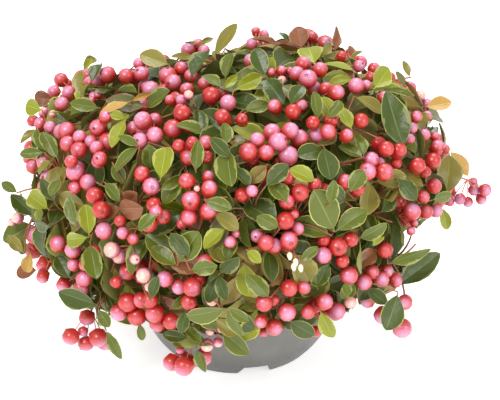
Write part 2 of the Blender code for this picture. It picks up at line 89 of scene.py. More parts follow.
BODY = "root"
SEED = 27
UP = Vector((0.0, 0.0, 1.0))
FULL_TURN = 2 * math.pi
GOLDEN_ANGLE = math.radians(137.508)

# The plant's frame, as the source has it
PLANT_X = -0.008
PLANT_Y = 0.0
BOWL_HEIGHT = 0.092
RIM_RADIUS = 0.085
FOOT_RADIUS = 0.058
FOOT_WIDTH = 0.006
FOOT_RECESS = 0.008
BELLY_POWER = 4.0
WALL = 0.0025
FLOOR = 0.003
LIP_HEIGHT = 0.007
LIP_OVERHANG = 0.0025
NOTCH_COUNT = 3
NOTCH_FIRST_DEG = -78.0
NOTCH_FOOT_WIDTH = 0.027
NOTCH_TOP_WIDTH = 0.019
NOTCH_HEIGHT = 0.0105
SOIL_TOP = 0.080
SOIL_CROWN = 0.003
SEAT_GAP = 0.0003
FLARE_RADIUS = 0.016
NECK_RADIUS = 0.009
FLARE_HEIGHT = 0.007
HEAD_RADIUS = 0.013
HEAD_RISE = 0.024
STEM_LEAN_X = 0.002
BOUGH_ROOT_RADIUS = 0.0020
BOUGH_END_LENGTH = 0.004
BOUGH_LEAST_RISE = 0.12
BOUGH_END_LIFT = 0.030
RIM_CLEARANCE = 0.006
CROWN_HEIGHT = 0.122
CROWN_HALF_WIDTH = 0.172
CROWN_HALF_DEPTH = 0.162
CROWN_RISE = 0.128
CROWN_DROP = 0.074
CROWN_POWER = 3.0
CROWN_WAVE = 0.04
CROWN_TILT = 0.05
CROWN_LIFT = 0.09
CROWN_LIFT_DEG = -75.0
CROWN_CENTRE = Vector((PLANT_X, PLANT_Y, CROWN_HEIGHT))
STEM_REACH = 0.040

# Tiers of masses: how many, how high above the crown's centre, how far out, and the first turn
TIERS = ((1, 0.078, 0.0, 0.0), (6, 0.068, 0.086, 20.0), (9, 0.028, 0.136, 0.0),
         (9, -0.032, 0.129, 20.0))

# The camera, which looks down on the plant from the front
PICTURE_WIDTH = 500
PICTURE_HEIGHT = 400
TARGET = Vector((0.0012, 0.0, 0.126))
CAMERA_DISTANCE = 1.3
CAMERA_ELEVATION_DEG = 24.0
LENS_MM = 117.0
SENSOR_MM = 36.0
PIXELS_PER_SLOPE = PICTURE_WIDTH * LENS_MM / SENSOR_MM

# Boughs and twigs, finer than the source's
BOUGH_TIP_GIRTH = 0.0010
TWIG_GIRTH = 0.0011
TWIGLET_GIRTH = 0.0007
PEDUNCLE_GIRTH = 0.00055
PEDICEL_GIRTH = 0.00042
SPRIG_COUNT = 158
SPRIG_INSET = 0.0264
SPRIG_STEPS = 6
FORK_SHARES = (0.45, 0.8)
FORK_STEPS = 5
FORK_TAPER = 0.8
TIP_COUNT = 440
TIP_INSET = (0.006, 0.018)
TIP_BOWL_SPARE = 0.004

# Where main twigs start between their limb's end and the mass's middle, and by what weights
# twigs and whorls turn up, to their end or outwards, beside the way that they come
SPRIG_ROOTS = (0.5, 1.0)
SPRIG_UP = 0.5
SPRIG_TO_END = 0.6
FORK_OUTWARDS = 0.4
WHORL_OUTWARDS = 0.6
BOUGH_INSIDE = 0.4

# What a placed leaf's upper side looks to, by weight
FACE_OUTWARDS = 0.30
FACE_CAMERA = 0.70
FACE_UP = 0.15
FACE_CHANCE = 0.35

# How far leaves lean from their twigs, least and most, in degrees
WHORL_LEANS = (38.0, 86.0)
LOWER_LEANS = (40.0, 80.0)
INNER_LEANS = (45.0, 88.0)
SHOWN_LEANS = (45.0, 85.0)
FAR_LEAF_LEANS = (30.0, 70.0)
FAR_BUNCH_LEANS = (35.0, 75.0)

# Where leaves stand along a twig, as shares of its length: the first below the tip's whorl and
# the step to the next, then all those inside the crown, and all those behind a far tip
LOWER_SHARES = (0.86, 0.2)
INNER_SHARES = (0.95, 0.75, 0.55, 0.35)
FAR_SHARES = (0.95, 0.8, 0.65)

# The size of leaves beside the rule's own, how many tries each has, and how far it may stand
# out of the crown and into others
INNER_SCALE = 1.1
INNER_CUTS = 3
FAR_SCALE = 0.8
FAR_OVERHANG = 0.03
FAR_PULLS = 12
LEAF_TRIES = 9
LEAF_SPACING = 0.0018
LEAF_SHRINK = 0.97
LEAF_ROCK = 0.45
LEAF_REACH = 0.55
LEAF_WIDTHS = (0.86, 1.14)
LEAF_PRESS = 0.97
SHOWN_TRIES = 14
SHOWN_STEP = 0.0015
SHOWN_CUTS = 2
SHOWN_LEAF_SPARE = 0.0028
SHOWN_LEAF_INSET = 0.006
PLACED_OVERHANG = 0.05
SHOWN_OVERHANG = (-0.004, 0.003)
WILD_OVERHANG = (-0.004, 0.012)

# The kinds of leaf on a spray: the depth at which it is shaded, the corner of the crown that
# turns first and how much of it has, and the shares of the kinds everywhere else
SHADED_DEPTH = 0.022
SHADED_DEEP_SHARE = 0.7
TURNED_X = 0.06
TURNED_Z = 0.13
TURNED_SHARE = 0.16
TURNED_KINDS = ("bronze", "plum", "bronze", "olive")
INNER_SHARE = 0.6
BRONZE_SHARE = 0.8
SPRAY_SHARES = (("deep", 0.32), ("mid", 0.28), ("fresh", 0.12), ("olive", 0.15), ("plum", 0.05))

# Bunches all over the crown and those deeper in it, how near their berries press, how a spot's
# spread is weighed, and the shares of a bunch and of each berry that nothing may hide
BUNCH_COUNT = 230
BUNCH_INSET = 0.008
DEEP_BUNCH_COUNT = 16
DEEP_BUNCH_INSET = (0.018, 0.026)
DEEP_BUNCH_BERRIES = (2, 4)
BUNCH_INSET_SHARES = (0.7, 1.2)
BUNCH_BOWL_SPARE = 0.010
SHOWN_BUNCH_INSET = 0.007
BERRY_TRIES = 12
BERRY_TOUCH = 0.93
BERRY_LEAST_DEPTH = 0.2
SPREAD_OUTWARDS = 0.35
SPREAD_UP = 0.25
BERRY_PRESS = 0.90
PINNED_PRESS = 0.88
SURE_BERRIES = 0.7
SURE_SHARE = 0.4
PINNED_SURE_SHARE = 0.6
BERRY_SIDES = 10
BERRY_SQUATNESS = (0.93, 1.02)
PINNED_INSET = 0.006
PUSH_TRIES = 20
PUSH_STEP = 0.0012

# How much a berry, which has corners, is widened to look as wide as it was measured
PINNED_FULLNESS = 1.08

# The paler pole of each berry, partly its bloom and partly painted light, with painted shade on
# the far side: the height at which it turns from below to above, how far it may, and what else it
# turns to, by weight: the light where the picture shows it, or else straight out; on all of them a
# little outwards, away from the bunch's hub, and by chance
LIT_BLOOM_TURN = 0.10
LIT_BLOOM_RISES = (-0.4, 0.55)
LIT_BLOOM_TO_LIGHT = 0.65
LIT_BLOOM_STRAIGHT_OUT = 0.40
LIT_BLOOM_OUTWARDS = 0.10
LIT_BLOOM_AWAY = 0.35
LIT_BLOOM_CHANCE = 0.25

# How many berries show their dried tip, its size and seat as shares of the berry's radius
DRIED_TIP_SHARE = 0.4
DRIED_TIP_SIZE = 0.26
DRIED_TIP_SEAT = 0.955
DRIED_TIP_LOBES = 5

# Where a bunch's stalks part: how far under its heart, and how far above that
BUNCH_HUB = (0.010, 0.002)
PINNED_HUB = (0.012, 0.004)
FAR_HUB = (0.022, 0.003)
BELL_HUB = (0.010, 0.004)

# Bells: how many places are tried, how far they hang under the crown's surface, shown or not,
# how far outwards they lean, and where and how far their stalks are raised
BELL_COUNT = 24
BELL_SIDES = 8
BELL_INSETS = (0.002, 0.004)
BELL_OUTWARDS = 0.35
BELL_STALK = (0.6, 0.003)

# Room kept to the solids' box and to the bowl, the side of the cells that sort what stands
# where, and how near its axis an outline closes
BOX_SPARE = 0.0004
BOWL_SPARE = 0.0012
CELL = 0.03
ON_AXIS = 1e-6

# Faces round and along the bowl, the soil and the wood
BOWL_SIDES = 120
OUTSIDE_STEPS = 22
INSIDE_STEPS = 18
SOIL_SIDES = 64
SOIL_STEPS = 8
SOIL_RINGS = 14
SOIL_UNEVENNESS = (-0.0008, 0.0005)
SOIL_EDGE_SPARE = 1e-5
WOOD_SIDES = 12
STEM_STEPS = 24
IN_MASS_STEPS = 4

# Grain of the noise that shapes the bark and the crumbs, the crumbs' sizes as shares of the
# largest, how far they are turned, and how far their points are moved, all of it about zero
BARK_GRAIN = 420.0
CRUMB_GRAIN = 900.0
CRUMB_SHARES = (0.25, 1.0)
CRUMB_TURN = 6.28
CRUMB_ROUGHNESS = 0.0016

# How deep in the crown a point is unseen, in what steps that and the crown's own surface are
# looked for, and the pixels of the squares that sort what shows
HIDDEN_DEPTH = 0.030
HIDING_STEP = 0.015
HIDING_STEPS = 12
HIDING_ALLOWED = 3
SQUARE = 16
SIGHT_START = 0.3
SIGHT_STEP = 0.0015
SIGHT_STEPS = 400

# Tips that stand out of the crown, as the source has them
FAR_TIPS = (
    (0.196, 0.01, 0.132, "berries"), (-0.196, -0.008, 0.145, "leaf"),
    (-0.194, -0.03, 0.104, "leaf"), (-0.009, 0.03, 0.265, "leaf"), (0.038, 0.036, 0.26, "leaf"),
    (0.124, 0.046, 0.228, "leaf"), (0.158, -0.006, 0.212, "leaf"), (0.146, -0.076, 0.116, "leaf"),
    (0.122, -0.106, 0.066, "berries"), (-0.131, -0.1, 0.054, "berries"),
    (-0.047, -0.134, 0.052, "berries"), (0.01, 0.178, 0.12, "leaf"), (0.0, -0.178, 0.11, "leaf"),
)

# Bunches that show in the picture: across, down, how many berries, and how ripe
SHOWN_BUNCHES = (
    (98, 95, 3, "small"), (108, 75, 2, "blushed"), (98, 128, 5, "blushed"),
    (67, 131, 3, "blushed"), (79, 150, 2, "blushed"), (97, 148, 3, "rosy"),
    (75, 172, 5, "blushed"), (48, 178, 2, "rosy"), (100, 168, 1, "rosy"), (95, 196, 2, "rosy"),
    (141, 74, 5, "blushed"), (168, 76, 4, "rosy"), (151, 90, 2, "rosy"), (191, 76, 1, "blushed"),
    (187, 90, 2, "scarlet"), (181, 100, 4, "small"), (182, 114, 3, "scarlet"),
    (179, 146, 3, "rosy"), (206, 143, 2, "scarlet"), (142, 174, 2, "blushed"),
    (144, 190, 4, "blushed"), (361, 121, 1, "scarlet"), (281, 71, 5, "small"),
    (345, 182, 2, "scarlet"), (300, 193, 2, "rosy"), (288, 177, 2, "scarlet"),
    (315, 185, 2, "scarlet"), (384, 98, 2, "blushed"), (104, 208, 3, "small"),
    (154, 205, 4, "rosy"), (171, 224, 3, "blushed"), (144, 275, 2, "pale"),
    (189, 302, 2, "scarlet"), (338, 247, 5, "rosy"), (358, 230, 2, "scarlet"),
    (289, 288, 2, "scarlet"), (385, 250, 1, "scarlet"), (150, 300, 2, "scarlet"),
    (205, 262, 1, "scarlet"),
)

# Bunches whose berries are placed one by one: what they hold, and for each berry its place
# in the picture, across and down, and its radius there, the nearest first
PINNED_BUNCHES = (
    ("blushed", (54, 92, 6.7), (69, 93, 7), (62, 104, 7), (61, 80, 7)),
    ("pale", (44, 113, 5.5), (53, 114, 4)),
    ("rosy", (41, 124, 7), (33, 121, 6), (50, 127, 6)),
    ("blushed", (33, 167, 7), (28, 159, 5), (43, 163, 6)),
    ("big", (37, 236, 10.7), (34, 250, 9), (58, 244, 9), (44, 264, 8), (43, 276, 7)),
    ("pale", (18, 218, 6), (12, 222, 4)),
    ("blushed", (188, 50, 7), (198, 46, 7), (204, 51, 6)),
    ("blushed", (256, 32, 5), (264, 35, 5), (252, 44, 6)),
    ("rosy", (251, 61, 7)),
    ("blushed", (312, 38, 6.5), (325, 43, 6.5)),
    ("rosy", (341, 57, 6), (359, 66, 6)),
    ("rosy", (303, 65, 8), (320, 70, 7.5), (308, 79, 9), (297, 74, 7.5), (314, 88, 7)),
    ("rosy", (336, 93, 8.5), (326, 89, 7)),
    ("blushed", (356, 86, 8), (366, 85, 5)),
    ("rosy", (374, 69, 6.5), (371, 77, 5)),
    ("rosy", (228, 103, 8), (211, 96, 9), (220, 93, 7), (205, 84, 7)),
    ("scarlet", (223, 118, 9), (242, 120, 7)),
    ("scarlet", (275, 107, 7.5), (293, 112, 8), (301, 106, 7)),
    ("blushed", (143, 121, 9), (145, 131, 9), (155, 121, 8), (134, 129, 8), (155, 135, 8),
     (140, 141, 8)),
    ("blushed", (278, 142, 9.3), (290, 131, 8.5), (257, 140, 7.4), (248, 152, 9), (288, 156, 10),
     (266, 153, 8), (299, 139, 9.4), (272, 133, 9)),
    ("scarlet", (281, 165, 8)),
    ("rosy", (328, 132, 8), (331, 121, 7.3), (346, 136, 7), (313, 123, 7), (317, 135, 7.5)),
    ("scarlet", (398, 151, 8.5), (386, 149, 8), (378, 144, 8), (396, 163, 6)),
    ("blushed", (367, 172, 9), (371, 160, 8), (384, 172, 9), (378, 164, 7)),
    ("rosy", (187, 181, 8), (209, 189, 8.8), (208, 177, 6.5), (191, 201, 10), (208, 211, 9),
     (189, 217, 8.5)),
    ("pale", (197, 189, 3.5)),
    ("blushed", (182, 224, 5.5)),
    ("rosy", (252, 191, 6), (242, 195, 7)),
    ("rosy", (230, 242, 6), (235, 234, 5)),
    ("blushed", (266, 243, 8), (274, 246, 8), (257, 236, 6.5)),
    ("blushed", (289, 241, 9.5), (297, 229, 7)),
    ("scarlet", (285, 221, 9)),
    ("small", (294, 214, 5), (299, 196, 6)),
    ("rosy", (104, 231, 8.5), (120, 221, 6)),
    ("small", (123, 233, 6.3), (133, 239, 5.8)),
    ("pale", (112, 250, 8), (120, 256, 8), (135, 259, 5.5)),
    ("blushed", (73, 250, 8), (94, 251, 6.3), (74, 265, 6.5), (85, 265, 6)),
    ("blushed", (84, 279, 8), (64, 284, 8), (81, 288, 8)),
    ("scarlet", (116, 282, 7)),
    ("blushed", (427, 105, 6), (427, 116, 5), (416, 117, 6.5), (412, 128, 5.5)),
    ("pale", (420, 96, 5.5)),
    ("blushed", (424, 135, 6), (435, 137, 5), (410, 139, 5)),
    ("rosy", (437, 148, 8), (445, 149, 5), (433, 161, 8)),
    ("scarlet", (417, 166, 9), (425, 172, 6)),
    ("blushed", (434, 186, 7.5), (423, 197, 6.5)),
    ("blushed", (412, 212, 8.7), (414, 223, 4), (411, 231, 4.5)),
    ("rosy", (436, 211, 6.5), (426, 212, 7)),
    ("blushed", (364, 282, 8), (349, 275, 9), (381, 279, 8), (372, 272, 7)),
    ("scarlet", (394, 280, 8), (386, 271, 7)),
    ("pale", (350, 302, 6.5)),
    ("rosy", (128, 302, 9.8), (137, 316, 9.5), (119, 312, 8.5)),
    ("rosy", (155, 313, 9.5), (158, 323, 8.5), (171, 321, 8.5)),
    ("blushed", (192, 287, 9.5), (165, 279, 8), (179, 287, 7.5)),
    ("scarlet", (199, 280, 7)),
    ("pale", (212, 300, 6)),
    ("pale", (207, 345, 6.5), (218, 342, 5), (210, 331, 4.5), (221, 329, 4)),
    ("blushed", (287, 312, 9), (274, 327, 8.5), (261, 321, 7), (263, 332, 5)),
    ("scarlet", (264, 303, 8.5), (273, 300, 7)),
    ("rosy", (324, 302, 9), (315, 331, 6), (308, 312, 7)),
    ("blushed", (336, 311, 9)),
)

# Leaves that show in the picture: foot across and down, tip across and down, kind, width and,
# where they hang in front of the crown, how far forwards
SHOWN_LEAVES = (
    (405, 151, 386, 93, "deep", 0.54), (391, 264, 397, 208, "deep", 0.4),
    (279, 224, 243, 196, "deep", 0.72), (198, 47, 213, 35, "olive", 0.32),
    (170, 65, 139, 52, "olive", 0.64), (196, 58, 168, 53, "olive", 0.3),
    (190, 78, 209, 50, "deep", 0.62), (225, 80, 232, 52, "mid", 0.55),
    (221, 88, 202, 68, "mid", 0.55), (83, 70, 97, 54, "olive", 0.38),
    (91, 83, 100, 63, "deep", 0.52), (80, 96, 82, 70, "olive", 0.7),
    (100, 108, 70, 103, "mid", 0.5), (335, 52, 335, 27, "bronze", 0.5),
    (315, 65, 306, 38, "fresh", 0.76), (290, 42, 280, 30, "deep", 0.5),
    (266, 77, 254, 46, "deep", 0.55), (374, 89, 388, 70, "fresh", 0.7),
    (405, 88, 396, 71, "plum", 0.52), (386, 89, 414, 96, "mid", 0.34),
    (449, 150, 468, 176, "golden", 0.6), (449, 152, 452, 188, "olive", 0.62),
    (441, 206, 450, 233, "fresh", 0.42), (388, 264, 430, 248, "mid", 0.4),
    (398, 292, 389, 331, "deep", 0.62, -0.122), (320, 310, 334, 342, "fresh", 0.5),
    (335, 232, 368, 206, "mid", 0.5), (332, 236, 294, 222, "mid", 0.52),
    (280, 228, 257, 216, "mid", 0.6), (272, 286, 270, 250, "deep", 0.48),
    (270, 298, 247, 274, "mid", 0.52), (221, 331, 249, 354, "mid", 0.62),
    (214, 317, 237, 334, "olive", 0.52), (211, 333, 191, 316, "mid", 0.6),
    (190, 270, 218, 266, "mid", 0.58), (178, 266, 150, 246, "mid", 0.52),
    (190, 258, 171, 233, "deep", 0.56), (158, 214, 135, 228, "mid", 0.62),
    (160, 181, 166, 146, "fresh", 0.56), (159, 190, 183, 176, "mid", 0.48),
    (196, 172, 198, 140, "mid", 0.48), (316, 182, 290, 168, "fresh", 0.5),
    (288, 203, 271, 179, "mid", 0.78), (318, 120, 314, 91, "mid", 0.5),
    (290, 106, 302, 80, "deep", 0.56), (326, 119, 342, 101, "mid", 0.5),
    (352, 130, 339, 107, "fresh", 0.58), (364, 158, 337, 142, "mid", 0.56),
    (364, 157, 357, 130, "mid", 0.52), (353, 79, 325, 84, "fresh", 0.5),
    (24, 238, 22, 255, "olive", 0.6), (36, 217, 12, 194, "deep", 0.48),
    (50, 227, 63, 200, "deep", 0.6), (89, 237, 86, 204, "fresh", 0.56),
    (76, 228, 68, 196, "mid", 0.46), (97, 305, 58, 292, "deep", 0.6),
    (70, 279, 56, 254, "deep", 0.56), (90, 243, 96, 279, "mid", 0.5),
    (98, 309, 109, 327, "mid", 0.6), (106, 330, 121, 358, "mid", 0.42),
    (38, 270, 14, 272, "bronze", 0.66, -0.03), (31, 252, 27, 273, "golden", 0.6),
    (45, 152, 18, 154, "mid", 0.44), (36, 128, 21, 144, "olive", 0.5),
    (42, 110, 23, 105, "fresh", 0.76), (54, 99, 34, 98, "bronze", 0.8),
    (234, 90, 261, 77, "fresh", 0.5), (224, 89, 237, 75, "fresh", 0.5),
    (243, 110, 270, 104, "mid", 0.5), (281, 47, 252, 35, "bronze", 0.32),
    (321, 57, 335, 38, "olive", 0.42), (352, 58, 350, 44, "bronze", 0.6),
    (349, 60, 363, 51, "olive", 0.38), (84, 72, 91, 57, "fresh", 0.45),
    (44, 152, 36, 127, "mid", 0.42), (58, 160, 44, 134, "mid", 0.42),
    (35, 173, 54, 155, "fresh", 0.52), (49, 210, 28, 194, "fresh", 0.6),
    (55, 203, 41, 178, "deep", 0.5), (41, 222, 38, 208, "fresh", 0.72),
    (24, 254, 8, 235, "olive", 0.52), (198, 44, 184, 43, "mid", 0.42),
    (288, 320, 315, 338, "deep", 0.6), (97, 316, 109, 327, "mid", 0.7),
    (186, 310, 181, 334, "deep", 0.56), (188, 338, 162, 335, "deep", 0.5),
    (188, 346, 168, 341, "olive", 0.36), (367, 288, 387, 304, "deep", 0.62),
    (355, 282, 344, 298, "mid", 0.7), (203, 344, 184, 326, "mid", 0.5),
    (139, 322, 143, 342, "mid", 0.44), (196, 348, 206, 371, "mid", 0.6),
    (148, 142, 152, 168, "mid", 0.66), (131, 101, 150, 94, "golden", 0.34),
    (126, 118, 110, 114, "fresh", 0.6), (140, 146, 118, 136, "mid", 0.44),
    (226, 146, 226, 120, "mid", 0.6), (231, 158, 210, 138, "deep", 0.56),
    (265, 187, 288, 166, "deep", 0.58), (268, 164, 249, 183, "olive", 0.62),
    (204, 200, 232, 209, "mid", 0.52), (213, 214, 241, 228, "olive", 0.56),
    (226, 228, 201, 248, "fresh", 0.6), (232, 166, 250, 186, "deep", 0.56),
    (364, 168, 352, 190, "mid", 0.62), (330, 205, 334, 180, "mid", 0.56),
    (398, 178, 418, 200, "deep", 0.64), (432, 200, 452, 194, "mid", 0.6),
    (104, 182, 120, 200, "mid", 0.5), (60, 178, 50, 196, "mid", 0.6),
    (52, 160, 34, 172, "olive", 0.56), (112, 162, 124, 182, "mid", 0.66),
    (226, 262, 232, 236, "mid", 0.56), (246, 250, 262, 262, "fresh", 0.6),
    (218, 275, 226, 300, "deep", 0.56), (206, 286, 224, 270, "mid", 0.5),
    (300, 262, 318, 246, "mid", 0.44), (330, 262, 318, 284, "deep", 0.6),
    (345, 282, 348, 296, "mid", 0.8), (150, 300, 158, 276, "deep", 0.5),
    (170, 309, 188, 296, "mid", 0.52), (178, 330, 188, 310, "deep", 0.5),
)

# The leaves at the far tips, in the same order: foot across and down, or None out of sight,
# kind and width
FAR_LEAVES = (
    (18, 193, "mid", 0.52), (35, 224, "mid", 0.72), (213, 58, "olive", 0.32),
    (302, 49, "bronze", 0.86), (410, 78, "olive", 0.45), (425, 107, "golden", 0.62),
    (396, 287, "deep", 0.43), (None, None, "mid", 0.56), (228, 308, "mid", 0.5),
)

# The berries at the far tips, in the same order: across, down and radius, the nearest first
FAR_BERRIES = (
    ((487, 190, 0.0056), (474, 190, 0.005), (473, 182, 0.0041), (481, 199, 0.0048),
     (460, 199, 0.005), (468, 202, 0.0044), (450, 202, 0.004)),
    ((402, 328, 0.0078), (383, 315, 0.0074), (405, 302, 0.0064), (368, 300, 0.0064)),
    ((98, 337, 0.0076), (71, 336, 0.0072), (86, 343, 0.0066), (87, 317, 0.0068),
     (105, 341, 0.0074), (83, 331, 0.0042)),
    ((184, 366, 0.0076), (172, 362, 0.007), (189, 362, 0.0064), (182, 357, 0.0064),
     (203, 357, 0.0068), (180, 350, 0.0034)),
)

# Bells that show in the picture: across and down
SHOWN_BELLS = (
    (290, 260), (294, 271), (301, 272), (296, 266),
)

# The crown's edge in the picture, across and down, past which only shown leaves stand out
CROWN_EDGE = (
    (22, 190), (24, 150), (26, 118), (40, 98), (62, 84), (80, 76), (100, 72), (122, 70), (142, 60),
    (158, 56), (176, 58), (190, 50), (208, 52), (222, 48), (240, 46), (254, 38), (270, 38),
    (286, 36), (306, 34), (326, 40), (340, 46), (354, 54), (366, 64), (384, 70), (400, 76),
    (418, 86), (434, 98), (442, 112), (446, 135), (450, 158), (452, 186), (445, 206), (428, 222),
    (402, 236), (398, 256), (412, 262), (426, 262), (420, 272), (404, 292), (372, 298), (352, 312),
    (340, 320), (330, 330), (300, 335), (262, 338), (246, 350), (206, 352), (165, 344), (146, 324),
    (112, 328), (84, 312), (62, 296), (58, 282), (36, 280), (16, 276), (8, 250), (4, 230),
    (8, 205),
)

# Screen colours of each kind of leaf: blade, margin, midrib and back
LEAF_BANDS = ("blade", "margin", "midrib", "back")
LEAF_PAINTS = {
    "deep": ((60, 73, 21), (152, 156, 78), (88, 104, 46), (112, 116, 60)),
    "mid": ((85, 95, 24), (174, 174, 88), (112, 124, 54), (132, 136, 70)),
    "fresh": ((128, 134, 30), (196, 192, 96), (152, 162, 60), (152, 156, 70)),
    "olive": ((118, 110, 40), (168, 140, 70), (136, 128, 56), (138, 128, 66)),
    # The inner kind is painted lighter and warmer than a leaf's green: painted light bounced into
    # the crown's shade.
    "inner": ((136, 118, 58), (156, 128, 70), (142, 126, 64), (146, 126, 74)),
    "bronze": ((124, 76, 46), (150, 80, 54), (140, 94, 58), (140, 104, 76)),
    "golden": ((172, 136, 68), (178, 112, 62), (196, 166, 86), (182, 152, 84)),
    "plum": ((96, 96, 50), (142, 66, 70), (116, 108, 62), (134, 112, 88)),
    "straw": ((192, 164, 112), (160, 124, 84), (202, 176, 126), (188, 160, 116)),
}

# Screen colours from the palest bloom, painted lighter where light falls, to the deep red of a
# berry's shaded side, painted shade
BERRY_PAINTS = {
    "bloom": (198, 136, 166), "lilac": (196, 120, 148), "pink": (194, 98, 118),
    "rose": (186, 74, 82), "coral": (180, 56, 52), "red": (180, 44, 38),
    "crimson": (170, 34, 29), "blush": (232, 172, 160), "cream": (236, 198, 172),
}

# A painted glow of blades and berries in their own colours, which lifts their shade and stands in
# for light that comes through them
LEAF_PAINTED_GLOW = 0.07
BERRY_PAINTED_GLOW = 0.06

# What the bunches of each kind hold, and the radii of their berries where these differ
BUNCH_MIXES = {
    "blushed": ("blushed", "blushed", "blushed", "rosy"),
    "rosy": ("rosy", "rosy", "blushed", "scarlet"),
    "scarlet": ("scarlet", "scarlet", "rosy"),
    "big": ("rosy", "rosy", "blushed"),
    "small": ("blushed", "rosy", "pale"),
    "pale": ("pale",),
}
BUNCH_RADII = {"big": (0.0072, 0.0084), "small": (0.0034, 0.0050), "pale": (0.0042, 0.0064)}
WILD_BUNCHES = ("blushed",) * 5 + ("rosy",) * 5 + ("scarlet",) * 2 + ("pale", "small", "big")

# A berry's colours from the pole that faces the light, painted lighter there, to the painted shade
# of its far side, and the turns where they change
RIPE = ("bloom", "lilac", "pink", "rose", "coral", "red", "crimson")
PALE = ("cream", "blush", "blush", "blush", "lilac", "pink", "rose")
SHADE_TURNS_DEG = (0.0, 20.0, 36.0, 51.0, 66.0, 84.0, 122.0, 180.0)

# Forms of berry: its shades, which of them comes first, and how far the paler pole, part bloom and
# part painted light, has spread
BERRY_FORMS = {
    "blushed": ((RIPE, 0, 1.30), (RIPE, 0, 1.10), (RIPE, 0, 0.90)),
    "rosy": ((RIPE, 1, 0.95), (RIPE, 2, 1.10), (RIPE, 0, 0.70)),
    "scarlet": ((RIPE, 3, 0.95), (RIPE, 3, 0.60), (RIPE, 4, 0.90)),
    "pale": ((PALE, 1, 1.20), (PALE, 1, 0.90), (PALE, 0, 0.80)),
}

# A bell's outline, as (radius, height) from its neck to its mouth and back inside
BELL_OUTLINE = ((0.0, 0.0), (0.16, 0.02), (0.32, 0.22), (0.36, 0.45), (0.30, 0.72), (0.17, 0.88),
                (0.22, 1.0), (0.10, 0.94), (0.0, 0.80))

# A leaf's outline, as (share of the length, share of the half width)
LEAF_STATIONS = ((0.0, 0.035), (0.09, 0.06), (0.21, 0.46), (0.37, 0.84), (0.55, 1.0),
                 (0.72, 0.94), (0.86, 0.69), (0.95, 0.38), (1.0, 0.0))

# Places of a leaf's points across it, the last under the midrib, and the strips of faces
# between them: band, outer place and inner place
LEAF_COLUMNS = (-1.0, -0.93, -0.04, 0.04, 0.93, 1.0)
LEAF_STRIPS = ((1, 0, 1), (0, 1, 2), (2, 2, 3), (0, 4, 3), (1, 5, 4), (3, 5, 6), (3, 0, 6))

# Forms of leaf: bend along its length, cup across it, twist, waviness of its edge, and how
# far its tip is drawn to a point
LEAF_FORMS = ((0.14, 0.06, 0.1, 0.01, 0.0), (0.20, 0.17, 0.25, 0.03, 0.30),
              (0.04, 0.20, -0.3, 0.03, 0.0), (0.32, 0.10, 0.2, 0.03, 0.15),
              (-0.08, 0.14, 0.4, 0.04, 0.40), (0.0, 0.10, 0.0, 0.02, 0.35))
PLAIN_FORM = 5
CUP_POWER = 1.3
MIDRIB_DEPTH = 0.02
MIDRIB_SHARPNESS = 6
EDGE_WAVES = (9.0, 2.0)
LEAF_THICKNESS = (0.012, 0.006)


def paint(colour):
    """A screen colour, each part from 0 to 255, as scene-linear numbers."""
    shares = [part / 255 for part in colour]
    return tuple(s / 12.92 if s <= 0.04045 else ((s + 0.055) / 1.055) ** 2.4 for s in shares)


def a_colour(name, description, *parts):
    """A colour that the user can change, given as a screen colour."""
    return bpy.props.FloatVectorProperty(name=name, description=description, subtype="COLOR",
                                         size=3, default=paint(parts))


def a_number(name, description, default, low, high, **kind):
    """A number that the user can change."""
    return bpy.props.FloatProperty(name=name, description=description, default=default,
                                   min=low, max=high, **kind)


def a_count(name, description, default, low, high):
    """A whole number that the user can change."""
    return bpy.props.IntProperty(name=name, description=description, default=default,
                                 min=low, max=high)


a_length = functools.partial(a_number, unit="LENGTH")
a_power = functools.partial(a_number, low=0.0, high=500.0, unit="POWER")


class BowlSettings(bpy.types.PropertyGroup):
    """Sizes and colours of the bowl and its soil."""

    grey: a_colour("Plastic", "Colour of the bowl's moulded plastic", 106, 105, 101)
    grey_worn: a_colour("Plastic, scuffed", "Colour of the plastic where it is handled",
                      124, 123, 118)
    lip_rounding: a_length("Lip rounding", "Radius of the rounding on the lip's edges",
                         0.0009, 0.0001, 0.003)
    soil_brown: a_colour("Soil", "Colour of the potting soil", 58, 44, 34)
    crumb_size: a_length("Crumb size", "Radius of the largest crumbs of soil",
                       0.0022, 0.0005, 0.005)
    crumbs_per_area: a_number("Crumbs", "Crumbs of soil on each square metre",
                            42000.0, 0.0, 100000.0)


class WoodSettings(bpy.types.PropertyGroup):
    """Sizes and colours of the stem, the boughs and the twigs."""

    bark: a_colour("Bark", "Colour of the bark on the stem and boughs", 116, 82, 56)
    bark_dark: a_colour("Bark, furrows", "Colour down in the bark's furrows", 62, 42, 30)
    relief: a_length("Relief", "Height of the ridges in the bark", 0.0006, 0.0, 0.002)
    twig: a_colour("Twigs", "Colour of the young twigs", 150, 92, 60)
    stalk: a_colour("Stalks", "Colour of the berries' own stalks", 198, 110, 84)


class LeafSettings(bpy.types.PropertyGroup):
    """Sizes of the leaves."""

    shortest: a_length("Shortest leaf", "Length of the shortest leaves", 0.028, 0.005, 0.05)
    longest: a_length("Longest leaf", "Length of the longest leaves", 0.042, 0.01, 0.08)
    width_share: a_number("Width", "A leaf's width as a share of its length", 0.56, 0.2, 1.0,
                        subtype="FACTOR")
    on_tip: a_count("Leaves in a whorl", "Leaves round the tip of each twig", 5, 1, 9)
    on_twig: a_count("Leaves below", "Leaves lower down on each twig", 3, 0, 9)


class BerrySettings(bpy.types.PropertyGroup):
    """Sizes of the berries and the bells."""

    smallest: a_length("Smallest berry", "Radius of the smallest ripe berries",
                     0.0050, 0.002, 0.012)
    largest: a_length("Largest berry", "Radius of the largest ripe berries", 0.0075, 0.002, 0.012)
    fewest: a_count("Fewest in a bunch", "Berries in the smallest bunches", 2, 1, 12)
    most: a_count("Most in a bunch", "Berries in the largest bunches", 7, 1, 12)
    bell: a_colour("Bells", "Colour of the small hanging flowers", 236, 230, 196)
    bell_length: a_length("Bell length", "Length of a flower", 0.0056, 0.003, 0.02)


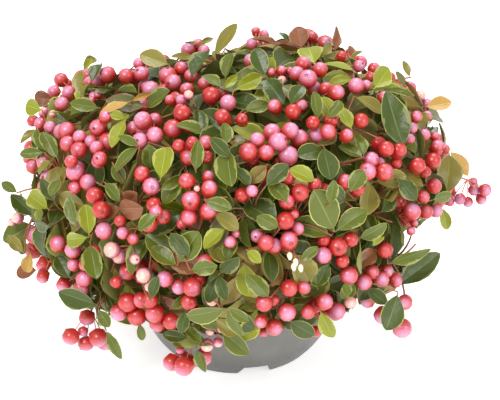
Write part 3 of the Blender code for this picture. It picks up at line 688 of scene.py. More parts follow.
class StageSettings(bpy.types.PropertyGroup):
    """The floor and the lights."""

    floor: bpy.props.FloatVectorProperty(name="Floor", description="Colour of the floor",
                                         subtype="COLOR", size=3, default=(0.90, 0.90, 0.90))
    glow: a_number("Glow", "Light that the floor gives off itself", 0.62, 0.0, 5.0)
    key_power: a_power("Key light", "Power of the light over the camera's left shoulder", 26.0)
    fill_power: a_power("Fill light", "Power of the light from the right", 12.0)
    top_power: a_power("Top light", "Power of the light overhead", 16.0)
    sky: a_number("Surroundings", "Brightness of the white surroundings", 0.76, 0.0, 5.0)


SETTINGS = {
    "wintergreen_bowl": BowlSettings,
    "wintergreen_wood": WoodSettings,
    "wintergreen_leaves": LeafSettings,
    "wintergreen_berries": BerrySettings,
    "wintergreen_stage": StageSettings,
}


def settings(name):
    """The scene's settings for one group of pieces."""
    return getattr(bpy.context.scene, "wintergreen_" + name)


def feed(tree, node, values):
    """Gives a node's sockets their values or links."""
    for key, value in values.items():
        socket = node.inputs[key]
        if isinstance(value, Term):
            value = value.socket
        if isinstance(value, bpy.types.NodeSocket):
            tree.links.new(value, socket)
        elif socket.type == "RGBA" and len(value) == 3:
            socket.default_value = (*value, 1.0)
        else:
            socket.default_value = value


def add_node(tree, kind, values=None, **options):
    """Adds a node, sets its options first, and gives its sockets their values or links."""
    node = tree.nodes.new(kind)
    for key, option in options.items():
        setattr(node, key, option)
    feed(tree, node, values or {})
    return node


class Term:
    """A number that varies over a surface, so that shader maths reads as plain expressions."""

    def __init__(self, tree, socket):
        self.tree = tree
        self.socket = socket

    def _maths(self, operation, first, second):
        node = add_node(self.tree, "ShaderNodeMath", {0: first, 1: second}, operation=operation)
        return Term(self.tree, node.outputs[0])

    def __add__(self, other):
        return self._maths("ADD", self, other)

    def __mul__(self, other):
        return self._maths("MULTIPLY", self, other)

    def __sub__(self, other):
        return self._maths("SUBTRACT", self, other)

    def __rsub__(self, other):
        return self._maths("SUBTRACT", other, self)

    __radd__ = __add__
    __rmul__ = __mul__

    def over(self, low, high):
        """0 below low and 1 above high, with a straight slope between them."""
        node = add_node(self.tree, "ShaderNodeMapRange",
                        {"Value": self, "From Min": low, "From Max": high}, clamp=True)
        return Term(self.tree, node.outputs["Result"])


class Finish:
    """One material under construction."""

    def __init__(self, name, colour, roughness, **constants):
        self.material = bpy.data.materials.new(name)
        self.material.use_nodes = True
        self.material.diffuse_color = (*colour, 1.0)
        self.tree = self.material.node_tree
        self.set(Base_Color=colour, Roughness=roughness, **constants)

    def set(self, **values):
        """Gives the shader's sockets, each named with its first words joined, values or links."""
        feed(self.tree, self.tree.nodes["Principled BSDF"],
             {key.replace("_", " "): value for key, value in values.items()})

    def node(self, kind, values=None, **options):
        """Any other node, with the values or links of its sockets."""
        return add_node(self.tree, kind, values, **options)

    def place(self):
        """Where a point is on the object."""
        return self.node("ShaderNodeTexCoord").outputs["Object"]

    def height(self):
        """How high above the floor a point is, in metres."""
        split = self.node("ShaderNodeSeparateXYZ", {"Vector": self.place()})
        return Term(self.tree, split.outputs["Z"])

    def noise(self, scale, detail=3.0, stretch=None):
        """Cloudy noise from 0 to 1, about 0.5, stretched along the axes if that is given."""
        place = self.place()
        if stretch:
            place = self.node("ShaderNodeMapping", {"Vector": place, "Scale": stretch}).outputs[0]
        node = self.node("ShaderNodeTexNoise", {"Vector": place, "Scale": scale, "Detail": detail})
        return Term(self.tree, node.outputs["Fac"])

    def blend(self, factor, first, second):
        """The first colour where the factor is 0, the second where it is 1."""
        node = self.node("ShaderNodeMix", {0: factor, 6: first, 7: second}, data_type="RGBA")
        return node.outputs[2]

    def bump(self, height, strength, distance):
        """Raises the surface by a height from 0 to 1, distance metres at most."""
        node = self.node("ShaderNodeBump",
                         {"Height": height, "Strength": strength, "Distance": distance})
        self.set(Normal=node.outputs["Normal"])


def new_object(name, mesh):
    """A new object in the scene for a mesh."""
    obj = bpy.data.objects.new(name, mesh)
    bpy.context.scene.collection.objects.link(obj)
    return obj


def applied(obj):
    """Turns what the object's modifiers make into its plain mesh."""
    graph = bpy.context.evaluated_depsgraph_get()
    mesh = bpy.data.meshes.new_from_object(obj.evaluated_get(graph))
    obj.modifiers.clear()
    old, obj.data = obj.data, mesh
    bpy.data.meshes.remove(old)
    mesh.name = obj.name
    return obj


def declare(obj, nodes):
    """Says what a piece rides on and which nodes it stands for."""
    if not obj.data.polygons:
        raise RuntimeError(f"{obj.name} came out empty")
    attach(obj, BODY)
    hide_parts(*nodes)


def named_nodes(start):
    """The frame's nodes whose names begin with a word."""
    return sorted(name for name in frame["nodes"] if name.startswith(start))


class Tree:
    """A Geometry Nodes tree with named inputs, one geometry in and one out."""

    def __init__(self, name, inputs, bands=1):
        self.group = bpy.data.node_groups.new(name, "GeometryNodeTree")
        self.bands = [f"Material {k + 1}" for k in range(bands)]
        face = self.group.interface
        sockets = {"Geometry": "Geometry", **inputs, **dict.fromkeys(self.bands, "Material")}
        for label, kind in sockets.items():
            face.new_socket(label, in_out="INPUT", socket_type="NodeSocket" + kind)
        face.new_socket("Geometry", in_out="OUTPUT", socket_type="NodeSocketGeometry")
        self.given = self.group.nodes.new("NodeGroupInput").outputs
        self.result = self.group.nodes.new("NodeGroupOutput").inputs["Geometry"]

    def node(self, kind, values=None, output=0, **options):
        """One of a new node's outputs."""
        return add_node(self.group, kind, values, **options).outputs[output]

    def attribute(self, name, kind):
        """A named attribute of the geometry."""
        return self.node("GeometryNodeInputNamedAttribute", {"Name": name}, "Attribute",
                         data_type=kind)

    def finish(self, geometry):
        """Realizes the instances and deals out the materials by the attribute named band."""
        out = self.node("GeometryNodeRealizeInstances", {"Geometry": geometry})
        for index, label in enumerate(self.bands):
            band = self.attribute("band", "INT")
            is_band = self.node("FunctionNodeCompare", {2: band, 3: index}, data_type="INT",
                                operation="EQUAL")
            out = self.node("GeometryNodeSetMaterial", {"Geometry": out, "Selection": is_band,
                                                        "Material": self.given[label]})
        self.group.links.new(out, self.result)
        return self.group


def grown(obj, group, materials, values):
    """Runs a tree on an object with its named inputs set, and keeps the result."""
    modifier = obj.modifiers.new("growth", "NODES")
    modifier.node_group = group
    values.update((f"Material {k + 1}", material) for k, material in enumerate(materials))
    for item in group.interface.items_tree:
        if item.in_out == "INPUT" and item.name in values:
            modifier[item.identifier] = values[item.name]
    return applied(obj)


@functools.lru_cache(maxsize=None)
def scatter_tree(bands):
    """Sets a form on every point, turned and stretched by the point's attributes."""
    tree = Tree(f"scatter_{bands}", {"Forms": "Collection"}, bands)
    forms = tree.node("GeometryNodeCollectionInfo", {
        "Collection": tree.given["Forms"], "Separate Children": True, "Reset Children": True})
    placed = tree.node("GeometryNodeInstanceOnPoints", {
        "Points": tree.given["Geometry"], "Instance": forms, "Pick Instance": True,
        "Instance Index": tree.attribute("form", "INT"),
        "Rotation": tree.attribute("turn", "QUATERNION"),
        "Scale": tree.attribute("stretch", "FLOAT_VECTOR")})
    return tree.finish(placed)


@functools.lru_cache(maxsize=None)
def tube_tree():
    """Gives every line of a network its girth, as a closed tube with ridges of bark."""
    tree = Tree("tubes", {"Sides": "Int", "Relief": "Float"})
    line = tree.node("GeometryNodeMeshToCurve", {"Mesh": tree.given["Geometry"]})
    ring = tree.node("GeometryNodeCurvePrimitiveCircle",
                     {"Resolution": tree.given["Sides"], "Radius": 1.0})
    tube = tree.node("GeometryNodeCurveToMesh", {
        "Curve": line, "Profile Curve": ring, "Scale": tree.attribute("girth", "FLOAT"),
        "Fill Caps": True})
    noise = tree.node("ShaderNodeTexNoise", {"Scale": BARK_GRAIN, "Detail": 3.0}, "Fac")
    height = tree.node("ShaderNodeMath", {0: noise, 1: 0.5}, operation="SUBTRACT")
    raised = tree.node("ShaderNodeMath", {0: height, 1: tree.given["Relief"]},
                       operation="MULTIPLY")
    offset = tree.node("ShaderNodeVectorMath", {0: tree.node("GeometryNodeInputNormal"),
                                                "Scale": raised}, operation="SCALE")
    moved = tree.node("GeometryNodeSetPosition", {"Geometry": tube, "Offset": offset})
    return tree.finish(tree.node("GeometryNodeSetShadeSmooth", {"Geometry": moved}))


@functools.lru_cache(maxsize=None)
def crumb_tree():
    """Strews crumbs over a surface, and keeps the surface."""
    tree = Tree("crumbs", {"Amount": "Float", "Largest": "Float", "Seed": "Int"})
    seed = tree.given["Seed"]
    spots = tree.node("GeometryNodeDistributePointsOnFaces", {
        "Mesh": tree.given["Geometry"], "Density": tree.given["Amount"], "Seed": seed})
    crumb = tree.node("GeometryNodeMeshIcoSphere", {"Radius": 1.0, "Subdivisions": 1})
    least, most = CRUMB_SHARES
    share = tree.node("FunctionNodeRandomValue", {2: least, 3: most, "Seed": seed}, 1,
                      data_type="FLOAT")
    size = tree.node("ShaderNodeMath", {0: share, 1: tree.given["Largest"]},
                     operation="MULTIPLY")
    turn = tree.node("FunctionNodeRandomValue", {
        0: (0.0,) * 3, 1: (CRUMB_TURN,) * 3, "Seed": seed}, data_type="FLOAT_VECTOR")
    placed = tree.node("GeometryNodeInstanceOnPoints", {
        "Points": spots, "Instance": crumb, "Rotation": turn, "Scale": size})
    whole = tree.node("GeometryNodeRealizeInstances", {"Geometry": placed})
    noise = tree.node("ShaderNodeTexNoise", {"Scale": CRUMB_GRAIN, "Detail": 1.0}, "Color")
    rough = tree.node("ShaderNodeVectorMath", {
        0: noise, 1: (CRUMB_ROUGHNESS,) * 3, 2: (-CRUMB_ROUGHNESS / 2,) * 3},
        operation="MULTIPLY_ADD")
    moved = tree.node("GeometryNodeSetPosition", {"Geometry": whole, "Offset": rough})
    joined = add_node(tree.group, "GeometryNodeJoinGeometry", {"Geometry": moved})
    tree.group.links.new(tree.given["Geometry"], joined.inputs[0])
    return tree.finish(tree.node("GeometryNodeSetShadeSmooth", {"Geometry": joined.outputs[0]}))


def side_of(axis, spin):
    """A unit vector square to the axis, turned by spin round it."""
    return Matrix.Rotation(spin, 3, axis) @ axis.orthogonal().normalized()


def in_bowl(point, spare):
    """True if a ball of radius spare round the point comes near the bowl or the floor."""
    near = math.hypot(point.x - PLANT_X, point.y - PLANT_Y) < RIM_RADIUS + spare
    return point.z < spare or (point.z <= BOWL_HEIGHT + spare and near)


def in_box(point, spare=0.0):
    """True if a ball of radius spare round the point is inside the solids' own box."""
    low, high = CAD_BOX
    return all(low[k] + spare <= point[k] <= high[k] - spare for k in range(3))


def camera_stand():
    """Where the camera stands and how it is turned."""
    rise = math.radians(CAMERA_ELEVATION_DEG)
    back = Vector((0.0, -math.cos(rise), math.sin(rise)))
    return TARGET + CAMERA_DISTANCE * back, (math.pi / 2 - rise, 0.0, 0.0)


CAMERA_PLACE, CAMERA_TURN = camera_stand()
CAMERA_AXES = Euler(CAMERA_TURN).to_matrix()


def in_picture(point):
    """Where in the picture a point shows, across and down, and how far away it is."""
    x, y, z = CAMERA_AXES.transposed() @ (point - CAMERA_PLACE)
    return (PICTURE_WIDTH / 2 - PIXELS_PER_SLOPE * x / z,
            PICTURE_HEIGHT / 2 + PIXELS_PER_SLOPE * y / z, -z)


def sight(x, y):
    """The direction from the camera to a place in the picture."""
    across, up = x - PICTURE_WIDTH / 2, PICTURE_HEIGHT / 2 - y
    return (CAMERA_AXES @ Vector((across, up, -PIXELS_PER_SLOPE))).normalized()


def on_plane(x, y, spot, normal):
    """Where the line of sight to a place in the picture meets the plane through a spot."""
    way = sight(x, y)
    return CAMERA_PLACE + way * ((spot - CAMERA_PLACE).dot(normal) / way.dot(normal))


def past_edge(point):
    """True if a point shows beyond the crown's edge in the picture."""
    x, y, _ = in_picture(point)
    past = True
    for (a, b), (u, v) in zip(CROWN_EDGE, CROWN_EDGE[-1:] + CROWN_EDGE):
        if (b > y) != (v > y) and x < a + (u - a) * (y - b) / (v - b):
            past = not past
    return past


def hidden(point):
    """True if the crown hides a point from the camera."""
    way = (CAMERA_PLACE - point).normalized()
    steps = (point + way * (HIDING_STEP * step) for step in range(1, HIDING_STEPS))
    return any(depth_in_crown(place) > HIDDEN_DEPTH for place in steps)


def on_crown(x, y, inset):
    """The point of the crown that shows at a place in the picture.

    Beyond the crown's edge it is the point on the line of sight nearest to the crown.
    """
    way = sight(x, y)
    nearest, least = None, -math.inf
    for step in range(SIGHT_STEPS):
        point = CAMERA_PLACE + way * (CAMERA_DISTANCE - SIGHT_START + SIGHT_STEP * step)
        depth = depth_in_crown(point)
        if depth >= inset:
            return point
        if depth > least:
            nearest, least = point, depth
    return nearest


def crown_wave(turn, rise):
    """The source's slow swelling and sinking of the crown, as a share of its radius."""
    waves = (0.6 * math.sin(3 * turn + 0.8) * math.cos(2 * rise)
             + 0.4 * math.sin(5 * turn + 2.1 + 3 * rise))
    tilt = math.cos(turn) * max(0.0, -math.cos(3 * rise)) if rise > 0 else 0.0
    lift = max(0.0, math.cos(turn - math.radians(CROWN_LIFT_DEG))) * max(0.0, -math.sin(2 * rise))
    return CROWN_WAVE * waves + CROWN_TILT * tilt - CROWN_LIFT * lift


def crown_reach(direction):
    """Distance from the crown's centre to its surface along a unit direction."""
    level = CROWN_RISE if direction.z > 0 else CROWN_DROP
    flat = math.hypot(direction.x / CROWN_HALF_WIDTH, direction.y / CROWN_HALF_DEPTH)
    size = (flat ** CROWN_POWER + (abs(direction.z) / level) ** CROWN_POWER) ** (1 / CROWN_POWER)
    turn = math.atan2(direction.y, direction.x)
    rise = math.asin(max(-1.0, min(1.0, direction.z)))
    return (1 + crown_wave(turn, rise)) / size


def outwards_at(point):
    """The direction from the crown's centre to a point."""
    return (point - CROWN_CENTRE).normalized()


def depth_in_crown(point):
    """How far inside the crown's surface a point is, along its own radius."""
    distance = (point - CROWN_CENTRE).length
    return crown_reach(outwards_at(point)) - distance if distance > 1e-9 else CROWN_DROP


def under_crown(direction, inset):
    """The point on a direction from the crown's centre that is inset under its surface."""
    return CROWN_CENTRE + direction * (crown_reach(direction) - inset)


def even_directions(count):
    """Directions spread evenly over the crown by the golden angle."""
    for k in range(count):
        z = 1 - 2 * (k + 0.5) / count
        flat = math.sqrt(1 - z * z)
        turn = k * GOLDEN_ANGLE
        level = CROWN_RISE if z > 0 else CROWN_DROP
        yield Vector((flat * math.cos(turn) * CROWN_HALF_WIDTH,
                      flat * math.sin(turn) * CROWN_HALF_DEPTH, z * level)).normalized()


def mass_middles():
    """Middle of every mass of foliage, tier by tier."""
    stretch = CROWN_HALF_DEPTH / CROWN_HALF_WIDTH
    middles = []
    for count, rise, radius, first_deg in TIERS:
        for k in range(count):
            turn = math.radians(first_deg) + FULL_TURN * k / count
            middles.append(CROWN_CENTRE + Vector((radius * math.cos(turn),
                                                  stretch * radius * math.sin(turn), rise)))
    return middles


def head_centre():
    """Middle of the stem's rounded head, from which the boughs fork."""
    z = SOIL_TOP + SEAT_GAP + HEAD_RISE - HEAD_RADIUS
    return Vector((PLANT_X + 0.5 * STEM_LEAN_X, PLANT_Y, z))


def bough_path(middle, steps=12):
    """The source's path from the stem's head to the foot of a mass, from inside the head."""
    centre = head_centre()
    outwards = (middle - centre).normalized()
    leave = outwards.copy()
    leave.z = max(leave.z, BOUGH_LEAST_RISE)
    leave.normalize()
    start = centre + leave * HEAD_RADIUS
    end = middle - outwards * STEM_REACH
    end.z = max(end.z, min(middle.z + BOUGH_END_LIFT, BOWL_HEIGHT + RIM_CLEARANCE))
    arrive = (middle - end).normalized()
    bend_end = end - BOUGH_END_LENGTH * arrive
    span = (bend_end - start).length
    path = [centre + leave * (BOUGH_INSIDE * HEAD_RADIUS)]
    for k in range(steps):
        t = k / (steps - 1)
        h = (2 * t**3 - 3 * t**2 + 1, t**3 - 2 * t**2 + t, -2 * t**3 + 3 * t**2, t**3 - t**2)
        path.append(h[0] * start + h[1] * span * leave + h[2] * bend_end + h[3] * span * arrive)
    return path + [end]


def curved(start, bend, end, steps):
    """Points of a smooth line from start to end that is drawn towards a bend."""
    shares = [k / steps for k in range(steps + 1)]
    return [(1 - t) ** 2 * start + 2 * t * (1 - t) * bend + t * t * end for t in shares]


def bent(start, leave, end, steps):
    """A smooth line that leaves one point in a direction and ends at another."""
    return curved(start, start + leave * (0.5 * (end - start).length), end, steps)


def along_line(line, share):
    """The point at a share of a line's steps, and the line's direction there."""
    at = min(share * (len(line) - 1), len(line) - 1.001)
    k = int(at)
    return line[k].lerp(line[k + 1], at - k), (line[k + 1] - line[k]).normalized()


NEIGHBOURS = (-1, 0, 1)


class Shelf:
    """Things sorted by place, so that a thing's neighbours are found quickly."""

    def __init__(self):
        self.cells = {}

    def put(self, point, thing):
        """Sorts a thing under its place."""
        self.cells.setdefault(tuple(math.floor(c / CELL) for c in point), []).append(thing)

    def near(self, point):
        """All that stands in a point's cell or in those round it."""
        i, j, k = (math.floor(c / CELL) for c in point)
        for a, b, c in itertools.product(NEIGHBOURS, repeat=3):
            yield from self.cells.get((i + a, j + b, k + c), ())


def leaf_point(form, u, v, side, drop=0.0):
    """A point of a leaf one unit long and wide, side running from -1 to 1 across it."""
    bend, cup, twist, wave, point = LEAF_FORMS[form]
    v *= 1 - point * u ** 3
    turn = twist * u
    y = 0.5 * v * side
    groove = max(0.0, 1 - MIDRIB_SHARPNESS * abs(side))
    z = cup * v * abs(side) ** CUP_POWER - MIDRIB_DEPTH * v * groove - drop
    along, across = EDGE_WAVES
    z += wave * v * math.sin(along * u + across * side) * side * side
    return Vector((u - 0.25 * bend * u * u, y * math.cos(turn) - z * math.sin(turn),
                   y * math.sin(turn) + z * math.cos(turn) - bend * u * u))


def rough_leaf(form):
    """The form's left edge, midrib and right edge as points, and the faces between them."""
    rows = [[leaf_point(form, u, v, side) for u, v in LEAF_STATIONS[1:]] for side in (1, 0, -1)]
    n = len(rows[0])
    faces = [(row * n + k, row * n + k + 1, row * n + n + k + 1, row * n + n + k)
             for row in (0, 1) for k in range(n - 1)]
    return rows[0] + rows[1] + rows[2], faces


ROUGH_LEAVES = [rough_leaf(form) for form in range(len(LEAF_FORMS))]


def leaf_axes(along, face):
    """Axes of a leaf whose length runs along and whose upper side looks to face."""
    across = face.cross(along).normalized()
    return Matrix((along, across, along.cross(across).normalized())).transposed()


def hub_under(heart, outwards, place):
    """Where the stalks of a bunch part, some way under its heart and a little above that."""
    inset, lift = place
    return heart - outwards * inset + UP * lift


def leaf_between(foot, tip, face, form, width):
    """A leaf from foot to tip, as its foot, its axes, its form and its stretch."""
    length = (tip - foot).length
    return foot, leaf_axes((tip - foot) / length, face), form, (length, length * width, length)


class Growth:
    """Everything that grows: the path of each twig and the place of each leaf and berry."""

    def __init__(self):
        self.rng = random.Random(SEED)
        self.leaf_rule = settings("leaves")
        self.berry_rule = settings("berries")
        self.middles = mass_middles()
        self.limbs = [(bough_path(middle), middle) for middle in self.middles]
        self.sprigs = [[] for _ in self.middles]
        self.twigs, self.stalks, self.stars, self.bells = [], [], [], []
        self.leaves = {kind: [] for kind in LEAF_PAINTS}
        self.berries = {kind: [] for kind in BERRY_FORMS}
        self.leaf_shelf, self.berry_shelf = Shelf(), Shelf()
        self.shown = {}

    def grow(self):
        """Grows it all, what the picture shows first, because what comes later makes way."""
        for direction in even_directions(SPRIG_COUNT):
            self.add_sprig(under_crown(direction, SPRIG_INSET))
        self.grow_far_tips()
        self.grow_shown()
        self.grow_bunches()
        self.grow_bells()
        self.grow_tips()
        self.grow_inside()
        return self

    def sideways(self, axis):
        """A direction drawn at random from those square to an axis."""
        return side_of(axis, self.rng.uniform(0, FULL_TURN))

    def nearest_mass(self, point):
        """The number of the mass whose middle is nearest to a point."""
        return min(range(len(self.middles)), key=lambda k: (self.middles[k] - point).length)

    def add_sprig(self, end):
        """A main twig from the end of its mass's limb."""
        mass = self.nearest_mass(end)
        path, middle = self.limbs[mass]
        root = path[-1].lerp(middle, self.rng.uniform(*SPRIG_ROOTS))
        leave = ((middle - path[-1]).normalized() + SPRIG_UP * UP
                 + SPRIG_TO_END * (end - root).normalized())
        line = bent(root, leave.normalized(), end, SPRIG_STEPS)
        self.sprigs[mass].append(line)
        self.twigs.append((line, TWIG_GIRTH, TWIGLET_GIRTH))
        return line

    def fork(self, end, girth, lines):
        """A finer twig to an end from the nearest main one, in the end's own mass if it can."""
        near = self.sprigs[self.nearest_mass(end)] or sum(self.sprigs, [])
        parent = min(near, key=lambda line: (line[-1] - end).length)
        start, way = along_line(parent, self.rng.uniform(*FORK_SHARES))
        leave = (way + FORK_OUTWARDS * outwards_at(end)).normalized()
        line = bent(start, leave, end, FORK_STEPS)
        lines.append((line, girth, FORK_TAPER * girth))
        return line

    def show(self, point, radius):
        """Keeps what shows in the picture from being hidden by what grows later."""
        x, y, far = in_picture(point)
        square = (int(x // SQUARE), int(y // SQUARE))
        self.shown.setdefault(square, []).append((x, y, far, radius * PIXELS_PER_SLOPE / far))

    def hides(self, points):
        """How many of the points stand before something that the picture shows."""
        count = 0
        for x, y, far in map(in_picture, points):
            i, j = int(x // SQUARE), int(y // SQUARE)
            count += any(far < f and math.hypot(x - u, y - v) < r
                         for a, b in itertools.product(NEIGHBOURS, repeat=2)
                         for u, v, f, r in self.shown.get((i + a, j + b), ()))
        return count

    def try_leaf(self, leaf, overhang):
        """A leaf, its centre, its rough shape and how many others it cuts, or None."""
        root, axes, form, stretch = leaf
        shape, faces = ROUGH_LEAVES[form]
        points = [root + axes @ Vector(map(float.__mul__, p, stretch)) for p in shape]
        if any(not in_box(p, BOX_SPARE) or in_bowl(p, BOWL_SPARE) or depth_in_crown(p) < -overhang
               for p in points):
            return None
        n = len(LEAF_STATIONS) - 1
        centre = points[n + n // 2]
        reach = LEAF_REACH * stretch[0]
        solid = points + [points[edge + k].lerp(points[n + k], 0.5)
                          for edge in (0, 2 * n) for k in range(n)]
        if any((middle - centre).length <= reach + radius
               and any((p - middle).length < LEAF_PRESS * radius for p in solid)
               for middle, radius in self.berry_shelf.near(centre)):
            return None
        tree = BVHTree.FromPolygons(points, faces)
        cuts = sum((other - centre).length < reach + far and bool(tree.overlap(cut))
                   for other, far, cut in self.leaf_shelf.near(centre))
        return leaf, centre, tree, points, cuts

    def best_leaf(self, leaves, overhang, shown=False):
        """Of the leaves to try, the one that cuts the fewest others."""
        best = None
        for leaf in leaves:
            tried = self.try_leaf(leaf, overhang)
            if not tried:
                continue
            if not shown and (self.hides(tried[3]) > HIDING_ALLOWED
                              or any(past_edge(p) for p in tried[3])):
                continue
            if best is None or tried[-1] < best[-1]:
                best = tried
            if not tried[-1]:
                break
        return best

    def keep_leaf(self, kind, tried, shown=False):
        """Adds a leaf, and keeps it in sight if the picture shows it."""
        (root, axes, form, stretch), centre, tree, points, _ = tried
        self.leaf_shelf.put(centre, (centre, LEAF_REACH * stretch[0], tree))
        self.leaves[kind].append((root, axes.to_quaternion(), stretch, form))
        for point in points if shown else ():
            self.show(point, SHOWN_LEAF_SPARE)

    def whorl_leaves(self, root, axis, turn, lean_deg, scale):
        """Leaves to try at one place in a whorl, by the source's rule."""
        rule = self.leaf_rule
        for attempt in range(LEAF_TRIES):
            turn[0] += GOLDEN_ANGLE
            lean = math.radians(self.rng.uniform(*lean_deg))
            length = (self.rng.uniform(rule.shortest, rule.longest) * scale
                      * LEAF_SHRINK ** attempt)
            width = rule.width_share * self.rng.uniform(*LEAF_WIDTHS)
            out = side_of(axis, turn[0])
            along = (axis * math.cos(lean) + out * math.sin(lean)).normalized()
            face = (axis * math.sin(lean) - out * math.cos(lean)).normalized()
            face = Matrix.Rotation(self.rng.uniform(-LEAF_ROCK, LEAF_ROCK), 3, along) @ face
            yield (root, leaf_axes(along, face), self.rng.randrange(len(LEAF_FORMS)),
                   (length, length * width, length))

    def whorl(self, tip, way, axis, kind, count, lean_deg, overhang, scale=1.0, cuts=0):
        """Leaves round a twig's tip, and how many found room."""
        kept = 0
        turn = [self.rng.uniform(0, FULL_TURN)]
        for index in range(count):
            root = tip - way * (LEAF_SPACING * index)
            best = self.best_leaf(self.whorl_leaves(root, axis, turn, lean_deg, scale), overhang)
            if best and best[-1] <= cuts:
                self.keep_leaf(kind, best)
                kept += 1
        return kept

    def spray_kind(self, point, depth):
        """The kind of leaf that a spray bears: more of the autumn's to the upper right."""
        draw = self.rng.random()
        if depth > SHADED_DEPTH:
            return "deep" if draw < SHADED_DEEP_SHARE else "mid"
        if point.x > TURNED_X and point.z > TURNED_Z and draw < TURNED_SHARE:
            return self.rng.choice(TURNED_KINDS)
        draw = self.rng.random()
        for kind, share in SPRAY_SHARES:
            if draw < share:
                return kind
            draw -= share
        return "bronze" if self.rng.random() < BRONZE_SHARE else "straw"

    def grow_tips(self):
        """Finer twigs all over the crown, each with a whorl and lower leaves."""
        for direction in even_directions(TIP_COUNT):
            inset = self.rng.uniform(*TIP_INSET)
            tip = under_crown(direction, inset)
            if in_bowl(tip, TIP_BOWL_SPARE) or past_edge(tip):
                continue
            overhang = self.rng.uniform(*(WILD_OVERHANG if hidden(tip) else SHOWN_OVERHANG))
            line = self.fork(tip, TWIGLET_GIRTH, self.twigs)
            _, way = along_line(line, 1.0)
            axis = way.lerp(direction, WHORL_OUTWARDS).normalized()
            kind = self.spray_kind(tip, inset)
            kept = self.whorl(tip, way, axis, kind, self.leaf_rule.on_tip, WHORL_LEANS, overhang)
            first, apart = LOWER_SHARES
            for step in range(self.leaf_rule.on_twig):
                place, way = along_line(line, first - apart * step)
                kind = self.spray_kind(place, depth_in_crown(place))
                kept += self.whorl(place, way, way, kind, 1, LOWER_LEANS, overhang)
            if not kept:
                self.twigs.pop()

    def grow_inside(self):
        """Older leaves along the main twigs, which close the view into the crown."""
        for line in sum(self.sprigs, []):
            for share in INNER_SHARES:
                place, way = along_line(line, share)
                # The inner kind stands for painted light bounced into the crown's shade, lighter
                # and warmer than the leaves' green.
                kind = "inner" if self.rng.random() < INNER_SHARE else "deep"
                self.whorl(place, way, way, kind, 2, INNER_LEANS, 0.0, INNER_SCALE, INNER_CUTS)

    def add_berry(self, kind, centre, radius, outwards, hub, shown):
        """A berry whose paler pole, partly bloom and partly painted light, looks to the light,
        with painted shade on the far side and the flower's dried tip on some.
        """
        away = (centre - hub).normalized()
        light = LIT_BLOOM_STRAIGHT_OUT * outwards
        if shown:
            light = LIT_BLOOM_TO_LIGHT * (CAMERA_PLACE - centre).normalized()
        lowest, highest = LIT_BLOOM_RISES
        rise = min(max((centre.z - LIT_BLOOM_TURN) / LIT_BLOOM_TURN, lowest), highest)
        # Painted light and shade: the paler rings turn this way, the deepest red to the far side.
        bloom = (rise * UP + LIT_BLOOM_OUTWARDS * outwards + LIT_BLOOM_AWAY * away + light
                 + LIT_BLOOM_CHANCE * self.sideways(outwards)).normalized()
        squat = self.rng.uniform(*BERRY_SQUATNESS)
        form = self.rng.randrange(len(BERRY_FORMS[kind]))
        self.berry_shelf.put(centre, (centre, radius))
        self.berries[kind].append((centre, UP.rotation_difference(bloom),
                                   (radius, radius, radius * squat), form))
        if self.rng.random() < DRIED_TIP_SHARE:
            way = (away + 0.6 * self.sideways(away)).normalized()
            self.stars.append((centre + way * (DRIED_TIP_SEAT * radius),
                               UP.rotation_difference(way), (DRIED_TIP_SIZE * radius,) * 3, 0))

    def add_stalk(self, hub, centre, share=0.5, lift=0.0015):
        """A berry's or a bell's own stalk, raised between its ends."""
        middle = hub.lerp(centre, share) + UP * lift
        self.stalks.append(([hub, middle, centre], PEDICEL_GIRTH, PEDICEL_GIRTH))

    def crowded(self, centre, radius, press):
        """True if a berry would press deeper into another than it may."""
        return any((centre - c).length < press * (radius + r)
                   for c, r in self.berry_shelf.near(centre))

    def berry_spot(self, placed, heart, outwards, radii, shown):
        """The best of a few places for the next berry: it touches the bunch, near its heart."""
        best, least = None, math.inf
        for _ in range(BERRY_TRIES):
            radius = self.rng.uniform(*radii)
            centre = heart.copy()
            if placed:
                base, base_radius = self.rng.choice(placed)
                step = Vector(self.rng.gauss(0, 1) for _ in range(3)).normalized()
                centre = base + step * (BERRY_TOUCH * (base_radius + radius))
            offset = centre - heart
            spread = (offset.length + SPREAD_OUTWARDS * abs(offset.dot(outwards))
                      + SPREAD_UP * offset.z)
            if (spread >= least or not in_box(centre, radius + BOX_SPARE)
                    or in_bowl(centre, radius + BOWL_SPARE)
                    or self.crowded(centre, radius, BERRY_PRESS)):
                continue
            if not shown and (depth_in_crown(centre) < BERRY_LEAST_DEPTH * radius
                              or past_edge(centre) or self.hides([centre])):
                continue
            best, least = (centre, radius), spread
        return best

    def place_bunch(self, heart, outwards, count, kind=None, shown=False):
        """A tight bunch of berries round a heart, with its stalks."""
        placed = []
        hub = hub_under(heart, outwards, BUNCH_HUB)
        kind = kind or self.rng.choice(WILD_BUNCHES)
        radii = BUNCH_RADII.get(kind, (self.berry_rule.smallest, self.berry_rule.largest))
        for _ in range(count):
            spot = self.berry_spot(placed, heart, outwards, radii, shown)
            if spot is None:
                continue
            placed.append(spot)
            self.add_berry(self.rng.choice(BUNCH_MIXES[kind]), *spot, outwards, hub, shown)
            if shown and len(placed) <= SURE_BERRIES * count:
                self.show(spot[0], SURE_SHARE * spot[1])
        if placed:
            self.fork(hub, PEDUNCLE_GIRTH, self.stalks)
        for centre, _ in placed:
            self.add_stalk(hub, centre)

    def pin_berries(self, kinds, hub, outwards, berries):
        """Berries at given places, each pushed back behind those before it."""
        for start, radius in berries:
            way = (start - CAMERA_PLACE).normalized()
            spare = radius + BOX_SPARE
            for step in range(PUSH_TRIES):
                centre = start + way * (PUSH_STEP * step)
                for k, (low, high) in enumerate(zip(*CAD_BOX)):
                    centre[k] = min(max(centre[k], low + spare), high - spare)
                if in_bowl(centre, radius) or self.crowded(centre, radius, PINNED_PRESS):
                    continue
                self.add_berry(self.rng.choice(kinds), centre, radius, outwards, hub, True)
                self.show(centre, PINNED_SURE_SHARE * radius)
                self.add_stalk(hub, centre)
                break

